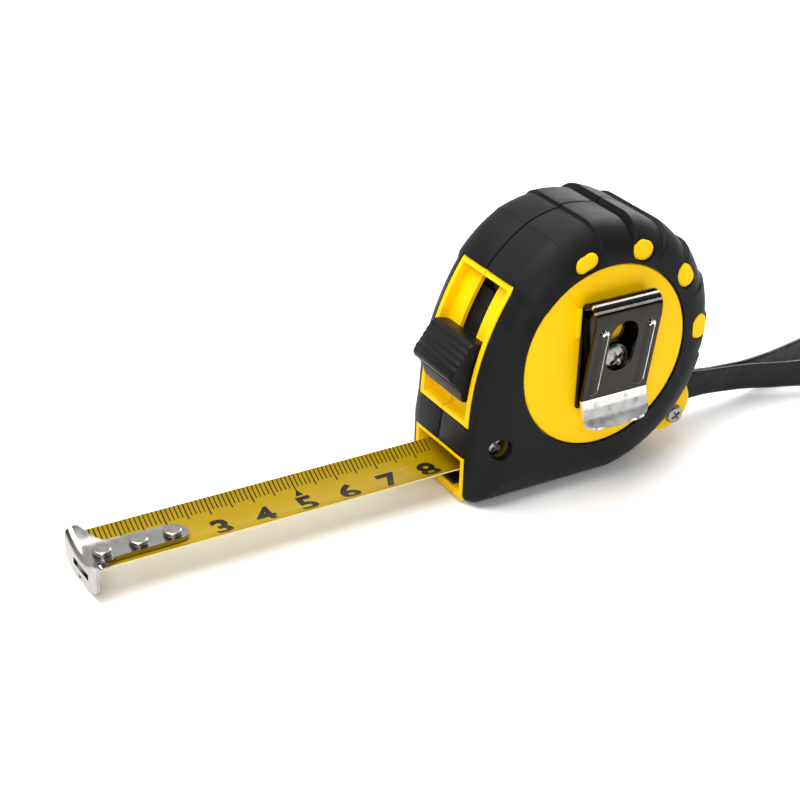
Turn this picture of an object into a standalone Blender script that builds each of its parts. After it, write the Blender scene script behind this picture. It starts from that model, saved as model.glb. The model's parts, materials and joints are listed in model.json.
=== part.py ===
"""A pocket tape measure: 3 m of 16 mm spring blade in a rubber-covered plastic case, with a belt clip.

The blade pays out along -X, the belt clip faces -Y and Z is up. The origin is on the base of the
case, straight below the axis of the reel. Lengths below are in millimetres; MM turns them into metres.
"""

from math import asin, atan2, cos, degrees, pi, radians, sin, sqrt

import bmesh
import bpy
from mathutils import Matrix, Vector

MM = 0.001
GAP = 0.3  # clearance kept between neighbouring pieces

# Case
REEL_Z = 31.6  # height of the reel axis
SIDE_Y = 15.6  # outer face of the round side panels
RUBBER_Y = 16.0  # outer face of the rubber
RUBBER = 2.0  # thickness of the rubber cover
WALL = 1.8  # thickness of the plastic shells
PARTING_Y = 0.4  # the halves meet here, so the base has material at y = 0
DISC_R = 21.14  # round side panel
FRONT_X = -31.5  # front face at the mouth
FRONT_ARC = (26.2, 17.6, 57.0)  # x, z and radius of the front face and of the lock's path
GRIP_STARTS = (139.0, 114.0, 96.5, 77.0, 58.5, 40.5, 22.5, 4.5, -13.5, -80.0)
BASE_END_R = 32.09  # radius at the last of these, where the round back meets the flat base
CROWN = 8.0  # rounding of the rubber's side edges
CROWN_STEPS = 4

# Openings in the front
WINDOW_HALF = 9.64
WINDOW_Z = (18.4, 49.7)
RIM = 1.3
WINDOW_DEPTH = 2.2
SLOT_HALF = 3.0
SLOT_Z = (23.0, 47.4)
FLOOR_BACK = 3.2  # depth of the window floor's rear face
GUIDE_Z = (21.8, 53.0)  # channel behind it for the lock's strip
MOUTH_HALF = 9.64
MOUTH_Z = (0.8, 11.1)

# Blade
BLADE_W = 16.0
BLADE_T = 0.25
BLADE_R = 13.5  # radius of the blade's curl
BLADE_Z = 5.1  # lowest line of its concave face
TIP_X = -113.8
MOUTH_X = -28.0  # the straight run ends here, inside the mouth
COIL_R = (11.4, 17.0)
LEAD_BEND_X = -5.0  # the blade runs straight in for the length of the hook's arm, then climbs to the coil
LEAD_BLEND = 4.0  # half the length over which it bends

# Hook
HOOK_T = 0.8
HOOK_X = -115.6  # outer face of the hook's plate
HOOK_HALF = 8.2
HOOK_END_X = -92.0
HOOK_PLAY = 0.8  # the hook slides this far on its rivets, the thickness of its own plate
RIVET_X = (-110.9, -102.9, -95.4)

# Belt clip
CLIP_X = 1.2
CLIP_HALF = 8.6
CLIP_T = 0.8

# Strap lug, lower rear
LUG = (23.5, 11.0, 6.6)  # x, z and radius
LUG_HALF = 10.0
LUG_SCREW = (25.6, 8.1)
EAR_INNER = 1.75
STRAP_W = 7.6
STRAP_T = 1.1

# Screws
FRONT_SCREW = (-25.6, 14.9)
SHANK_R = 1.1
SCREW_WAY_R = SHANK_R + GAP

# Further details of the pieces above
TOE_R = 2.5  # rounding of the case's front lower corner
GRIP_STEP = (0.25, 0.15)  # how far a grip pad rises above and falls below the mean outline
SPOT_ANGLES = (106.2, 70.6, 36.4, 2.3)
SPOT_R = 24.2
SPOT_Y = 15.2  # outer face of the oval spots
LIP_Z = 2.8  # top of the mouth's lower lip
BLADE_MID_Z = BLADE_Z - BLADE_T / 2 + BLADE_R * (1 - sin(BLADE_W / 2 / BLADE_R) * 2 * BLADE_R / BLADE_W)
FLANGE_R = 20.5
ARM_HALF = 3.7
CLIP_BACK_Y = -16.3
CLIP_BEND_Y = -18.6
CLIP_BEND_Z = 43.9
CLIP_BEND_R = 2.3


# ---------------------------------------------------------------- helpers


def collection(name):
    made = bpy.data.collections.new(name)
    bpy.context.scene.collection.children.link(made)
    return made


for old in list(bpy.data.objects):
    bpy.data.objects.remove(old)
PARTS = collection("tape_measure")
CUTTERS = collection("cutters")


def material(name, colour, roughness, metallic=0.0):
    made = bpy.data.materials.new(name)
    made.use_nodes = True
    shader = made.node_tree.nodes["Principled BSDF"]
    shader.inputs["Base Color"].default_value = (*colour, 1.0)
    shader.inputs["Roughness"].default_value = roughness
    shader.inputs["Metallic"].default_value = metallic
    return made


def new_object(name, data):
    made = bpy.data.objects.new(name, data)
    PARTS.objects.link(made)
    return made


def from_bmesh(name, shape):
    mesh = bpy.data.meshes.new(name)
    shape.to_mesh(mesh)
    shape.free()
    return new_object(name, mesh)


def to_mesh(obj, name):
    """The object's evaluated shape as a mesh object with its transform applied and its caps welded."""
    bpy.context.view_layer.update()
    graph = bpy.context.evaluated_depsgraph_get()
    mesh = bpy.data.meshes.new_from_object(obj.evaluated_get(graph))
    mesh.transform(obj.matrix_world)
    bpy.data.objects.remove(obj)
    shape = bmesh.new()
    shape.from_mesh(mesh)
    bmesh.ops.remove_doubles(shape, verts=shape.verts, dist=1e-6)
    bmesh.ops.recalc_face_normals(shape, faces=shape.faces)
    return from_bmesh(name, shape)


def arc(x, z, radius, start, end, steps):
    """Points on a circle in the side view, from one angle in degrees to another."""
    angles = [radians(start + (end - start) * i / steps) for i in range(steps + 1)]
    return [(x + radius * cos(a), z + radius * sin(a)) for a in angles]


def stadium(x, z, length, width, angle):
    """A slot with round ends, its length at an angle in degrees."""
    reach = (length - width) / 2
    dx, dz = reach * cos(radians(angle)), reach * sin(radians(angle))
    first = arc(x + dx, z + dz, width / 2, angle - 90, angle + 90, 6)
    return first + arc(x - dx, z - dz, width / 2, angle + 90, angle + 270, 6)


def curve_object(name, points, cyclic=False, dimensions="2D"):
    data = bpy.data.curves.new(name, "CURVE")
    data.dimensions = dimensions
    line = data.splines.new("POLY")
    line.points.add(len(points) - 1)
    for knot, point in zip(line.points, points):
        place = [value * MM for value in point] + [0.0] * (3 - len(point))
        knot.co = (*place, 1.0)
    line.use_cyclic_u = cyclic
    return new_object(name, data)


def drawn_from_side(name, points, cyclic, y_from, y_to):
    """A line drawn as (x, z), pulled out along Y."""
    drawn = curve_object(name, points, cyclic)
    drawn.data.fill_mode = "BOTH"
    drawn.data.extrude = abs(y_to - y_from) / 2 * MM
    drawn.rotation_euler.x = pi / 2
    drawn.location.y = (y_from + y_to) / 2 * MM
    return to_mesh(drawn, name)


def plate(name, outline, y_from, y_to):
    """A closed outline drawn as (x, z), given its thickness along Y."""
    return drawn_from_side(name, outline, True, y_from, y_to)


def thicken(obj, thickness):
    solid = obj.modifiers.new("thickness", "SOLIDIFY")
    solid.thickness = thickness * MM
    solid.offset = 0.0
    solid.use_even_offset = True
    return to_mesh(obj, obj.name)


def ribbon(name, path, y_from, y_to, thickness):
    """A thin strip along a path drawn as (x, z)."""
    return thicken(drawn_from_side(name, path, False, y_from, y_to), thickness)


def sheet(name, steps_along, steps_across, place, thickness):
    """A grid whose points are moved to place(along, across), with along 0 to 1 and across -1 to 1."""
    shape = bmesh.new()
    bmesh.ops.create_grid(shape, x_segments=steps_along, y_segments=steps_across, size=1.0)
    for vertex in shape.verts:
        vertex.co = Vector(place((vertex.co.x + 1) / 2, vertex.co.y)) * MM
    bmesh.ops.recalc_face_normals(shape, faces=shape.faces)
    return thicken(from_bmesh(name, shape), thickness)


def round_bar(name, centre, radius, length, axis, segments=32):
    """A round bar along an axis, centred on a point."""
    turn = {"X": (pi / 2, "Y"), "Y": (pi / 2, "X"), "Z": (0.0, "Z")}[axis]
    shape = bmesh.new()
    bmesh.ops.create_cone(
        shape,
        cap_ends=True,
        segments=segments,
        radius1=radius * MM,
        radius2=radius * MM,
        depth=length * MM,
        matrix=Matrix.Translation(Vector(centre) * MM) @ Matrix.Rotation(turn[0], 4, turn[1]),
    )
    return from_bmesh(name, shape)


def rod(name, x, z, radius, y_from, y_to, segments=32):
    """A round bar along Y."""
    centre = (x, (y_from + y_to) / 2, z)
    return round_bar(name, centre, radius, abs(y_to - y_from), "Y", segments)


def box(name, low, high):
    shape = bmesh.new()
    bmesh.ops.create_cube(shape, size=1.0)
    for vertex in shape.verts:
        middle = [(a + b) / 2 + (b - a) * c for a, b, c in zip(low, high, vertex.co)]
        vertex.co = Vector(middle) * MM
    return from_bmesh(name, shape)


def slab(name, x_from, x_to, y_from, y_to, z_from, z_to):
    """A box between two planes in each direction."""
    low_y, high_y = sorted((y_from, y_to))
    return box(name, (x_from, low_y, z_from), (x_to, high_y, z_to))


def turned(name, profile, closed, place, facing, segments=24):
    """A profile drawn as (radius, height) turned about its height, which grows towards facing."""
    joins = [(i, i + 1) for i in range(len(profile) - 1)]
    if closed:
        joins.append((len(profile) - 1, 0))
    mesh = bpy.data.meshes.new(name)
    mesh.from_pydata([(r * MM, 0.0, h * MM) for r, h in profile], joins, [])
    made = new_object(name, mesh)
    screw = made.modifiers.new("turn", "SCREW")
    screw.steps = segments
    screw.render_steps = segments
    screw.use_merge_vertices = True
    screw.merge_threshold = 1e-6
    made.rotation_euler = Vector(facing).to_track_quat("Z", "Y").to_euler()
    made.location = Vector(place) * MM
    return to_mesh(made, name)


def combine(obj, operation, others):
    """Cuts the other shapes from obj, or joins them on. They move to the cutters."""
    for other in others:
        PARTS.objects.unlink(other)
        CUTTERS.objects.link(other)
        other.hide_render = True
        other.display_type = "WIRE"
        step = obj.modifiers.new(other.name, "BOOLEAN")
        step.operation = operation
        step.object = other
        step.solver = "EXACT"


def cut(obj, *others):
    combine(obj, "DIFFERENCE", others)


def join(obj, *others):
    combine(obj, "UNION", others)


def lofted(name, rings):
    """A closed solid through rings of (x, y, z) points, all with the same number of points."""
    shape = bmesh.new()
    loops = [[shape.verts.new(Vector(point) * MM) for point in ring] for ring in rings]
    for near, far in zip(loops, loops[1:]):
        for i, corner in enumerate(near):
            following = (i + 1) % len(near)
            shape.faces.new((corner, near[following], far[following], far[i]))
    shape.faces.new(loops[0])
    shape.faces.new(loops[-1])
    bmesh.ops.recalc_face_normals(shape, faces=shape.faces)
    return from_bmesh(name, shape)


def finish(obj, look, origin=(0.0, 0.0, 0.0)):
    """Gives a piece its material and smooth shading, and its origin on its joint."""
    place = Vector(origin) * MM
    obj.data.transform(Matrix.Translation(-place))
    obj.location = place
    obj.data.materials.clear()
    obj.data.materials.append(look)
    obj.data.shade_smooth()
    obj.data.set_sharp_from_angle(angle=radians(35))


# ---------------------------------------------------------------- outlines


def base_radius(angle):
    """The case's radius about the reel axis, by direction in degrees."""
    marks = ((139.0, 28.1), (100.0, 29.3), (60.0, 30.7), (0.0, 31.2), (-80.0, BASE_END_R))
    for (a, at_a), (b, at_b) in zip(marks, marks[1:]):
        if angle >= b:
            return at_a + (at_b - at_a) * (a - angle) / (a - b)
    return BASE_END_R


def grip_arc(inset, stepped):
    """The round back of the case. The rubber's grip pads overlap like shingles."""
    points = []
    for start, end in zip(GRIP_STARTS, GRIP_STARTS[1:]):
        last = end == GRIP_STARTS[-1]
        lift, drop = (0.0, 0.0) if last or not stepped else GRIP_STEP
        steps = 6 if last else 3
        for i in range(steps + (stepped or last)):
            share = i / steps
            angle = start + (end - start) * share
            radius = base_radius(angle) - inset + lift - (lift + drop) * share
            points.append((radius * cos(radians(angle)), REEL_Z + radius * sin(radians(angle))))
    return points


def case_outline(inset=0.0, stepped=False):
    """The side view of the case, from the toe up the front, over the top and round the back."""
    corner = max(TOE_R - inset, 0.2)
    x, z, radius = FRONT_ARC
    toe = arc(FRONT_X + inset + corner, inset + corner, corner, 270, 180, 3)
    front = [(FRONT_X + inset, 13.0)] + arc(x, z, radius - inset, 179.2, 147.5, 6)
    return toe + front + grip_arc(inset, stepped)


def front_band(outer, inner, z_low, z_high, steps=6):
    """A band along the curved front, between two depths under its surface."""
    x, z, radius = FRONT_ARC
    low, high = (180 - degrees(asin((edge - z) / radius)) for edge in (z_low, z_high))
    out = arc(x, z, radius - outer, low, high, steps)
    return out + arc(x, z, radius - inner, high, low, steps)


def crowned(name, side, start, inset, side_y, crown, stepped=False):
    """The case's outline from y = start to its side face, with the edge rounded over."""
    rings = [[(x, start, z) for x, z in case_outline(inset, stepped)]]
    for step in range(CROWN_STEPS + 1):
        turn = radians(90 * step / CROWN_STEPS)
        depth = inset + crown * (1 - cos(turn))
        y = side * (side_y - crown * (1 - sin(turn)))
        rings.append([(x, y, z) for x, z in case_outline(depth, stepped)])
    return lofted(name, rings)


def halves_trimmed(obj, side):
    """Cuts off what lies past the parting plane of this half."""
    seam = PARTING_Y + side * GAP / 2
    low, high = sorted((seam, seam - side * 10))
    cut(obj, box(obj.name + "_parting", (-60, low, -20), (60, high, 90)))


# ---------------------------------------------------------------- case


def case_shell(name, side, look):
    """One plastic half: side wall, round panel, half of the window frame, mouth rim and strap lug."""
    past = PARTING_Y - side * 1.0
    inset, side_y, crown = RUBBER + GAP, RUBBER_Y - RUBBER - 0.1, CROWN - RUBBER - GAP
    lug_x, lug_z, lug_r = LUG
    shell = crowned(name, side, past, inset, side_y, crown)
    join(
        shell,
        rod(name + "_panel", 0, REEL_Z, DISC_R, side * 11.0, side * SIDE_Y, 48),
        plate(name + "_window", front_band(0, 4.0, *WINDOW_Z), past - side * 0.3, side * WINDOW_HALF),
        slab(name + "_rim", FRONT_X, -26.0, past - side * 0.6, side * MOUTH_HALF, *MOUTH_Z),
        rod(name + "_ear", lug_x, lug_z, lug_r, side * EAR_INNER, side * LUG_HALF, 28),
        *[
            plate(f"{name}_spot_{i}", outline, side * 11.0, side * SPOT_Y)
            for i, outline in enumerate(spot_outlines(0.0))
        ],
    )
    cut(
        shell,
        crowned(name + "_cavity", side, past - side, inset + WALL, side_y - WALL, crown - WALL),
        plate(
            name + "_recess",
            front_band(-2, WINDOW_DEPTH, WINDOW_Z[0] + RIM, WINDOW_Z[1] - RIM),
            past - side * 1.3,
            side * (WINDOW_HALF - RIM),
        ),
        plate(name + "_slot", front_band(1, 8, *SLOT_Z), past - side * 1.6, side * SLOT_HALF),
        plate(name + "_guide", front_band(FLOOR_BACK, 6.5, *GUIDE_Z, 8), past - side * 2.2, side * 5.2),
        slab(
            name + "_mouth", FRONT_X - 2, -24.7, past - side * 1.9, side * 8.5, LIP_Z, MOUTH_Z[1] - 0.9
        ),
        rod(name + "_post_seat", 0, REEL_Z, 3.4, side * 10.0, side * 13.6, 24),
    )
    boss_y, front_way_y, lug_way_y = (12.6, 16.0, 12.0) if side < 0 else (10.8, 8.0, 8.0)
    join(shell, rod(name + "_boss", *FRONT_SCREW, 2.5, past - side * 0.4, side * boss_y, 24))
    cut(
        shell,
        rod(name + "_front_way", *FRONT_SCREW, SCREW_WAY_R, past - side, side * front_way_y, 20),
        rod(name + "_lug_way", *LUG_SCREW, SCREW_WAY_R, past - side, side * lug_way_y, 20),
    )
    if side < 0:
        cut(
            shell,
            rod(name + "_counterbore", *FRONT_SCREW, 2.8, -12.0, -17.0, 24),
            rod(name + "_clip_way", CLIP_X, REEL_Z, SCREW_WAY_R, -11.0, -17.0, 20),
        )
    halves_trimmed(shell, side)
    finish(shell, look)


def spot_outlines(grow):
    """The oval spots of the shell that show through the rubber, one to a grip pad."""
    sizes = ((5.6, 3.4), (5.0, 4.2), (4.8, 3.8), (5.6, 3.2))
    for angle, (length, width) in zip(SPOT_ANGLES, sizes):
        x, z = SPOT_R * cos(radians(angle)), REEL_Z + SPOT_R * sin(radians(angle))
        yield stadium(x, z, length + 2 * grow, width + 2 * grow, angle + 90)


def rubber_grip(name, side, look):
    """The soft cover of one half, open at the panel, the window, the mouth and the lug."""
    seam = PARTING_Y + side * GAP / 2
    past = PARTING_Y - side * 1.0
    half = WINDOW_HALF + GAP
    lug_x, lug_z, lug_r = LUG
    cover = crowned(name, side, seam, 0.0, RUBBER_Y, CROWN, stepped=True)
    under = crowned(name + "_inside", side, past, RUBBER, RUBBER_Y - RUBBER + 0.2, CROWN - RUBBER)
    cut(
        cover,
        under,
        rod(name + "_panel_hole", 0, REEL_Z, DISC_R + GAP, side * 11.0, side * 17.0, 48),
        slab(name + "_window", -40, -14, past, side * half, WINDOW_Z[0] - GAP, WINDOW_Z[1] + GAP),
        slab(name + "_mouth", -40, -25.7, past - side, side * half, -1, MOUTH_Z[1] + GAP),
        rod(name + "_lug_gap", lug_x, lug_z, lug_r + GAP, past, side * (LUG_HALF + GAP), 28),
        *[
            plate(f"{name}_spot_{i}", outline, side * 10.0, side * 17.0)
            for i, outline in enumerate(spot_outlines(GAP))
        ],
    )
    if side < 0:
        cut(cover, rod(name + "_screw_hole", *FRONT_SCREW, 3.0, -10.5, -17.0, 24))
    finish(cover, look)


def mouth_bumper(look):
    pad = box("mouth_bumper", (FRONT_X + 0.3, -6.0, LIP_Z + GAP), (-28.5, 6.0, 3.9))
    finish(pad, look)


# ---------------------------------------------------------------- blade and reel


def blade_sheet(name, steps, height_and_curl):
    """A stretch of the blade. height_and_curl(along) gives x, the middle height and how curled it is."""
    half_turn = BLADE_W / 2 / BLADE_R
    mean_sag = BLADE_R * (1 - sin(half_turn) / half_turn)

    def place(along, across):
        x, z, curl = height_and_curl(along)
        angle = across * half_turn
        flat, round_ = across * BLADE_W / 2, BLADE_R * sin(angle)
        sag = BLADE_R * (1 - cos(angle)) - mean_sag
        return (x, flat + (round_ - flat) * curl, z + sag * curl)

    return sheet(name, steps, 8, place, BLADE_T)


def tape_blade(look):
    """The straight run, from the tip to just inside the mouth, curled across its width."""

    def along(share):
        return TIP_X + (MOUTH_X - TIP_X) * share, BLADE_MID_Z, 1.0

    blade = blade_sheet("tape_blade", 2, along)
    holes = [
        round_bar(f"blade_hole_{i}", (x, 0, BLADE_Z), 1.25, 2.0, "Z", 16)
        for i, x in enumerate(RIVET_X)
    ]
    cut(blade, *holes)
    finish(blade, look)


def blade_lead(look):
    """The run inside the case: straight, then flattening as it climbs to the underside of the coil."""
    below_axis = REEL_Z - BLADE_MID_Z
    to_axis = sqrt(LEAD_BEND_X**2 + below_axis**2)
    slope = atan2(below_axis, -LEAD_BEND_X) - asin((COIL_R[1] + GAP) / to_axis)
    start_x, end_x = MOUTH_X + GAP, (COIL_R[1] + GAP) * sin(slope)
    curl_end = LEAD_BEND_X - LEAD_BLEND

    def along(share):
        x = start_x + (end_x - start_x) * share
        past = x - LEAD_BEND_X
        if past < LEAD_BLEND:
            past = max(0.0, past + LEAD_BLEND) ** 2 / (4 * LEAD_BLEND)
        z = BLADE_MID_Z + past * sin(slope) / cos(slope)
        return x, z, min(1.0, max(0.0, 1 - (x - curl_end) / (end_x - curl_end)))

    lead = blade_sheet("blade_lead", 18, along)
    finish(lead, look)


def reel(hub_look, blade_look, spring_look):
    """The reel turns on the post: hub, two flanges, the wound blade and the mainspring inside."""
    axis = (0.0, 0.0, REEL_Z)
    ring = {"closed": True, "place": axis, "facing": (0, -1, 0), "segments": 32}

    def band(name, inner, outer, low, high, look):
        profile = [(outer, high), (outer, low), (inner, low), (inner, high)]
        finish(turned(name, profile, **ring), look, axis)

    band("reel_hub", 9.8, 11.1, -8.4, 8.4, hub_look)
    band("wound_blade", *COIL_R, -BLADE_W / 2, BLADE_W / 2, blade_look)
    band("reel_flange_clip_side", 3.4, FLANGE_R, 8.7, 9.5, hub_look)
    band("reel_flange_plain_side", 3.4, FLANGE_R, -9.5, -8.7, hub_look)
    turns, per_turn, inner_r, growth = 6, 16, 3.7, 5.6
    coil = []
    for i in range(turns * per_turn + 1):
        radius, turn = inner_r + growth * i / (turns * per_turn), 2 * pi * i / per_turn
        coil.append((radius * cos(turn), REEL_Z + radius * sin(turn)))
    finish(ribbon("mainspring", coil, -6.5, 6.5, 0.3), spring_look, axis)


def reel_post(look):
    post = rod("reel_post", 0, REEL_Z, 3.0, -13.3, 13.3, 28)
    cut(post, rod("post_thread", CLIP_X, REEL_Z, SCREW_WAY_R, -14.0, -6.5, 20))
    finish(post, look)


# ---------------------------------------------------------------- hook


def hook_half_width(x):
    """Half the hook's width over the blade: a round end, a slow taper, then a flare to the plate."""
    from_end = x - HOOK_END_X if x > HOOK_END_X else HOOK_END_X - x
    if from_end < ARM_HALF:
        return max(0.6, sqrt(ARM_HALF**2 - (ARM_HALF - from_end) ** 2))
    flare = min(1.0, max(0.0, (-108.0 - x) / 6.0))
    return ARM_HALF + 0.05 * (from_end - ARM_HALF) + (HOOK_HALF - ARM_HALF - 0.8) * flare**2


def end_hook(look):
    """Pressed steel: an arm along the blade's trough, saddled at the bend, and a plate turned down."""
    bend_r = 1.3
    middle_x = HOOK_X + HOOK_T / 2
    trough = BLADE_Z + GAP + HOOK_T / 2
    curl = BLADE_R - GAP - HOOK_T / 2
    arm_end, bend_end = 0.62, 0.78

    def place(along, across):
        if along <= arm_end:
            x = HOOK_END_X + (middle_x + bend_r - HOOK_END_X) * (along / arm_end) ** 0.8
            half = min(HOOK_HALF, hook_half_width(x))
        else:
            x, half = middle_x + bend_r, HOOK_HALF
        y = half * across
        top = trough + curl - sqrt(curl**2 - y**2)
        if along <= arm_end:
            return x, y, top
        turn = min(1.0, (along - arm_end) / (bend_end - arm_end)) * pi / 2
        x, z = x - bend_r * sin(turn), top - bend_r * (1 - cos(turn))
        low = 0.6 + 2.9 * (1 - sqrt(1 - (abs(y) / (HOOK_HALF + 0.3)) ** 2.4))
        down = max(0.0, (along - bend_end) / (1 - bend_end))
        return x, y, z + (low - z) * down

    hook = sheet("end_hook", 22, 8, place, HOOK_T)
    slots = [
        plate_from_above(f"hook_slot_{i}", stadium(x, 0, 2.5 + HOOK_PLAY, 2.5, 0), 4.0, 9.0)
        for i, x in enumerate(RIVET_X)
    ]
    cut(
        hook,
        box("nail_notch", (-118, -1.3, -1), (-113, 1.3, 1.9)),
        box("nail_slot", (-118, -3.8, 3.0), (-114.2, 3.8, 4.5)),
        *slots,
    )
    finish(hook, look)


def plate_from_above(name, outline, z_from, z_to):
    """A closed outline drawn as (x, y), given its thickness along Z."""
    drawn = curve_object(name, outline, True)
    drawn.data.fill_mode = "BOTH"
    drawn.data.extrude = (z_to - z_from) / 2 * MM
    drawn.location.z = (z_from + z_to) / 2 * MM
    return to_mesh(drawn, name)


def hook_rivets(look):
    """Three domed rivets. The hook slides a little on their shanks."""
    under = BLADE_Z - BLADE_T - 0.3
    over = BLADE_Z + GAP + HOOK_T + 0.35
    dome = [(2.0 * cos(radians(a)), over + 0.1 + 0.6 * sin(radians(a))) for a in range(90, -1, -30)]
    tail = [(0.95, over), (0.95, under), (1.5, under), (1.5, under - 0.35), (0.0, under - 0.35)]
    profile = [(0.0, dome[0][1])] + dome[1:] + [(2.0, over)] + tail
    for i, x in enumerate(RIVET_X, start=1):
        rivet = turned(f"hook_rivet_{i}", profile, False, (x, 0, 0), (0, 0, 1), 20)
        finish(rivet, look)


# ---------------------------------------------------------------- thumb lock


def under_front(depth, z):
    """x at a depth under the curved front, at a height."""
    x, middle_z, radius = FRONT_ARC
    return x - sqrt((radius - depth) ** 2 - (z - middle_z) ** 2)


def thumb_lock(look):
    """The ribbed button in the window. It slides on the curved floor, about the front's own centre."""
    top, nose, bottom = (-29.3, 37.0), (-34.0, 30.9), (-30.6, 23.6)
    back_z = 36.3
    ridges, ridge = 5, 0.25
    length = sqrt((nose[0] - top[0]) ** 2 + (nose[1] - top[1]) ** 2)
    out_x, out_z = (nose[1] - top[1]) / length, (top[0] - nose[0]) / length
    ramp = []
    for i in range(ridges):
        for share, lift in ((0.0, 0.0), (0.55, ridge), (0.95, 0.05)):
            along = (i + share) / ridges
            x = top[0] + (nose[0] - top[0]) * along + out_x * lift
            ramp.append((x, top[1] + (nose[1] - top[1]) * along + out_z * lift))
    floor_depth = WINDOW_DEPTH - GAP
    floor = [(under_front(floor_depth, z), z) for z in (bottom[1], 26.6, 29.5, 32.4, back_z)]
    under_nose = [(-34.2, 30.1), (-33.9, 29.3), (-32.9, 28.5), (-31.6, 27.8)]
    profile = ramp + [nose] + under_nose + [bottom] + floor
    button = plate("thumb_lock", profile, -7.9, 7.9)
    finish(button, look, (FRONT_ARC[0], 0, FRONT_ARC[1]))


def lock_tongue(look):
    """The springy strip behind the window's floor, with a neck through the slot and a foot over the blade."""
    outer, inner = FLOOR_BACK + GAP, FLOOR_BACK + GAP + 1.0
    heights = (44.8, 40.0, 36.0, 31.0, 25.5)
    front = [(under_front(outer, z), z) for z in heights]
    back = [(under_front(inner, z), z) for z in heights[::-1]]
    tongue = plate("lock_tongue", front + back, -4.8, 4.8)
    neck = [(under_front(WINDOW_DEPTH, z), z) for z in (36.0, 32.0, 28.2)]
    neck += [(under_front(outer + 0.5, z), z) for z in (28.2, 32.0, 36.0)]
    foot = [(-21.0, 20.0), (-21.0, 11.1), (-19.8, 11.1), (-19.8, 20.6)]
    foot = [(under_front(outer + 0.4, 27.5), 27.5)] + foot + [(under_front(inner + 0.3, 29.0), 29.0)]
    join(
        tongue,
        plate("lock_neck", neck, -2.6, 2.6),
        plate("lock_foot", foot, -2.55, 2.55),
    )
    finish(tongue, look, (FRONT_ARC[0], 0, FRONT_ARC[1]))


def brake_pad(look):
    pad = box("brake_pad", (-21.2, -2.6, 9.9), (-19.4, 2.6, 10.8))
    finish(pad, look, (FRONT_ARC[0], 0, FRONT_ARC[1]))


# ---------------------------------------------------------------- belt clip and screws


def across_case(obj):
    """Turns a shape drawn with its path in x into one with its path in y, about the middle of the clip."""
    obj.data.transform(
        Matrix.Translation((CLIP_X * MM, 0, 0)) @ Matrix.Rotation(pi / 2, 4, "Z")
    )
    return obj


def clip_back_leg(look):
    """The leg that is screwed to the panel, up to the middle of the bend."""
    middle = CLIP_BACK_Y
    bend = arc(CLIP_BEND_Y, CLIP_BEND_Z, CLIP_BEND_R, 0, 86, 5)
    leg = across_case(
        ribbon("belt_clip_back_leg", [(middle, 21.0)] + bend, -CLIP_HALF, CLIP_HALF, CLIP_T)
    )
    cut(
        leg,
        rod("clip_hole", CLIP_X, REEL_Z, SCREW_WAY_R, -18.0, -14.0, 20),
        plate("leg_slot", stadium(CLIP_X, 38.6, 6.4, 5.0, 90), -17.5, -15.5),
    )
    finish(leg, look)


def clip_leaf(look):
    """The sprung leaf: it comes down from the bend, leans in to the case and flares out at the lip."""
    bend = arc(CLIP_BEND_Y, CLIP_BEND_Z, CLIP_BEND_R, 94, 180, 5)
    path = bend + [(-18.05, 24.2), (-17.95, 22.9), (-18.5, 20.8), (-20.4, 16.4)]
    leaf = across_case(ribbon("belt_clip_leaf", path, -CLIP_HALF, CLIP_HALF, CLIP_T))
    cut(leaf, plate("leaf_slot", stadium(CLIP_X - 0.55, 35.8, 12.6, 7.3, 90), -23.0, -18.6))
    finish(leaf, look, (CLIP_X, CLIP_BEND_Y, CLIP_BEND_Z + CLIP_BEND_R))


def screw(name, x, z, seat_y, head_r, head_h, length, look):
    """A cross-head screw along Y, its head facing -Y and seated at seat_y."""
    profile = [
        (0.0, head_h),
        (head_r * 0.6, head_h * 0.94),
        (head_r * 0.9, head_h * 0.6),
        (head_r, head_h * 0.2),
        (head_r, 0.0),
        (SHANK_R, 0.0),
        (SHANK_R, -length + 0.8),
        (0.5, -length),
        (0.0, -length),
    ]
    made = turned(name, profile, False, (x, seat_y, z), (0, -1, 0), 24)
    reach, slot = head_r * 0.6, head_r * 0.13  # half the length and half the width of the cross
    top, bottom = seat_y - head_h - 0.2, seat_y - head_h * 0.35
    cut(
        made,
        box(name + "_cross_a", (x - reach, top, z - slot), (x + reach, bottom, z + slot)),
        box(name + "_cross_b", (x - slot, top, z - reach), (x + slot, bottom, z + reach)),
    )
    finish(made, look)


# ---------------------------------------------------------------- strap


def smooth_through(points, per_span):
    """A Catmull-Rom curve through the points."""
    ends = [points[0]] + list(points) + [points[-1]]
    curve = []
    for a, b, c, d in zip(ends, ends[1:], ends[2:], ends[3:]):
        a, b, c, d = (Vector(p) for p in (a, b, c, d))
        for i in range(per_span):
            t = i / per_span
            curve.append(
                0.5 * (2 * b + (c - a) * t + (2 * a - 5 * b + 4 * c - d) * t**2)
                + 0.5 * (3 * b - a - 3 * c + d) * t**3
            )
    return [tuple(p) for p in curve] + [tuple(points[-1])]


def strap_route():
    """Out from the lug on the clip side, round the far end of the loop and back on the plain side."""
    leg = (
        (30.9, 0.75, 8.9),
        (38.0, 0.75, 8.3),
        (46.0, 0.8, 7.6),
        (54.0, 1.2, 6.8),
        (64.0, 3.0, 5.8),
        (76.0, 5.6, 5.0),
        (90.0, 9.0, 4.3),
        (104.0, 11.6, 4.0),
        (116.0, 12.2, 4.0),
        (127.0, 12.0, 4.0),
        (133.0, 10.4, 4.0),
        (137.4, 6.0, 4.0),
    )
    out = [(x, -y, z) for x, y, z in leg]
    back = [(x, y, z - 0.7 * max(0.0, 1 - x / 90)) for x, y, z in leg[::-1]]
    return smooth_through(out + [(139.0, 0.0, 4.0)] + back, 2)


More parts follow.
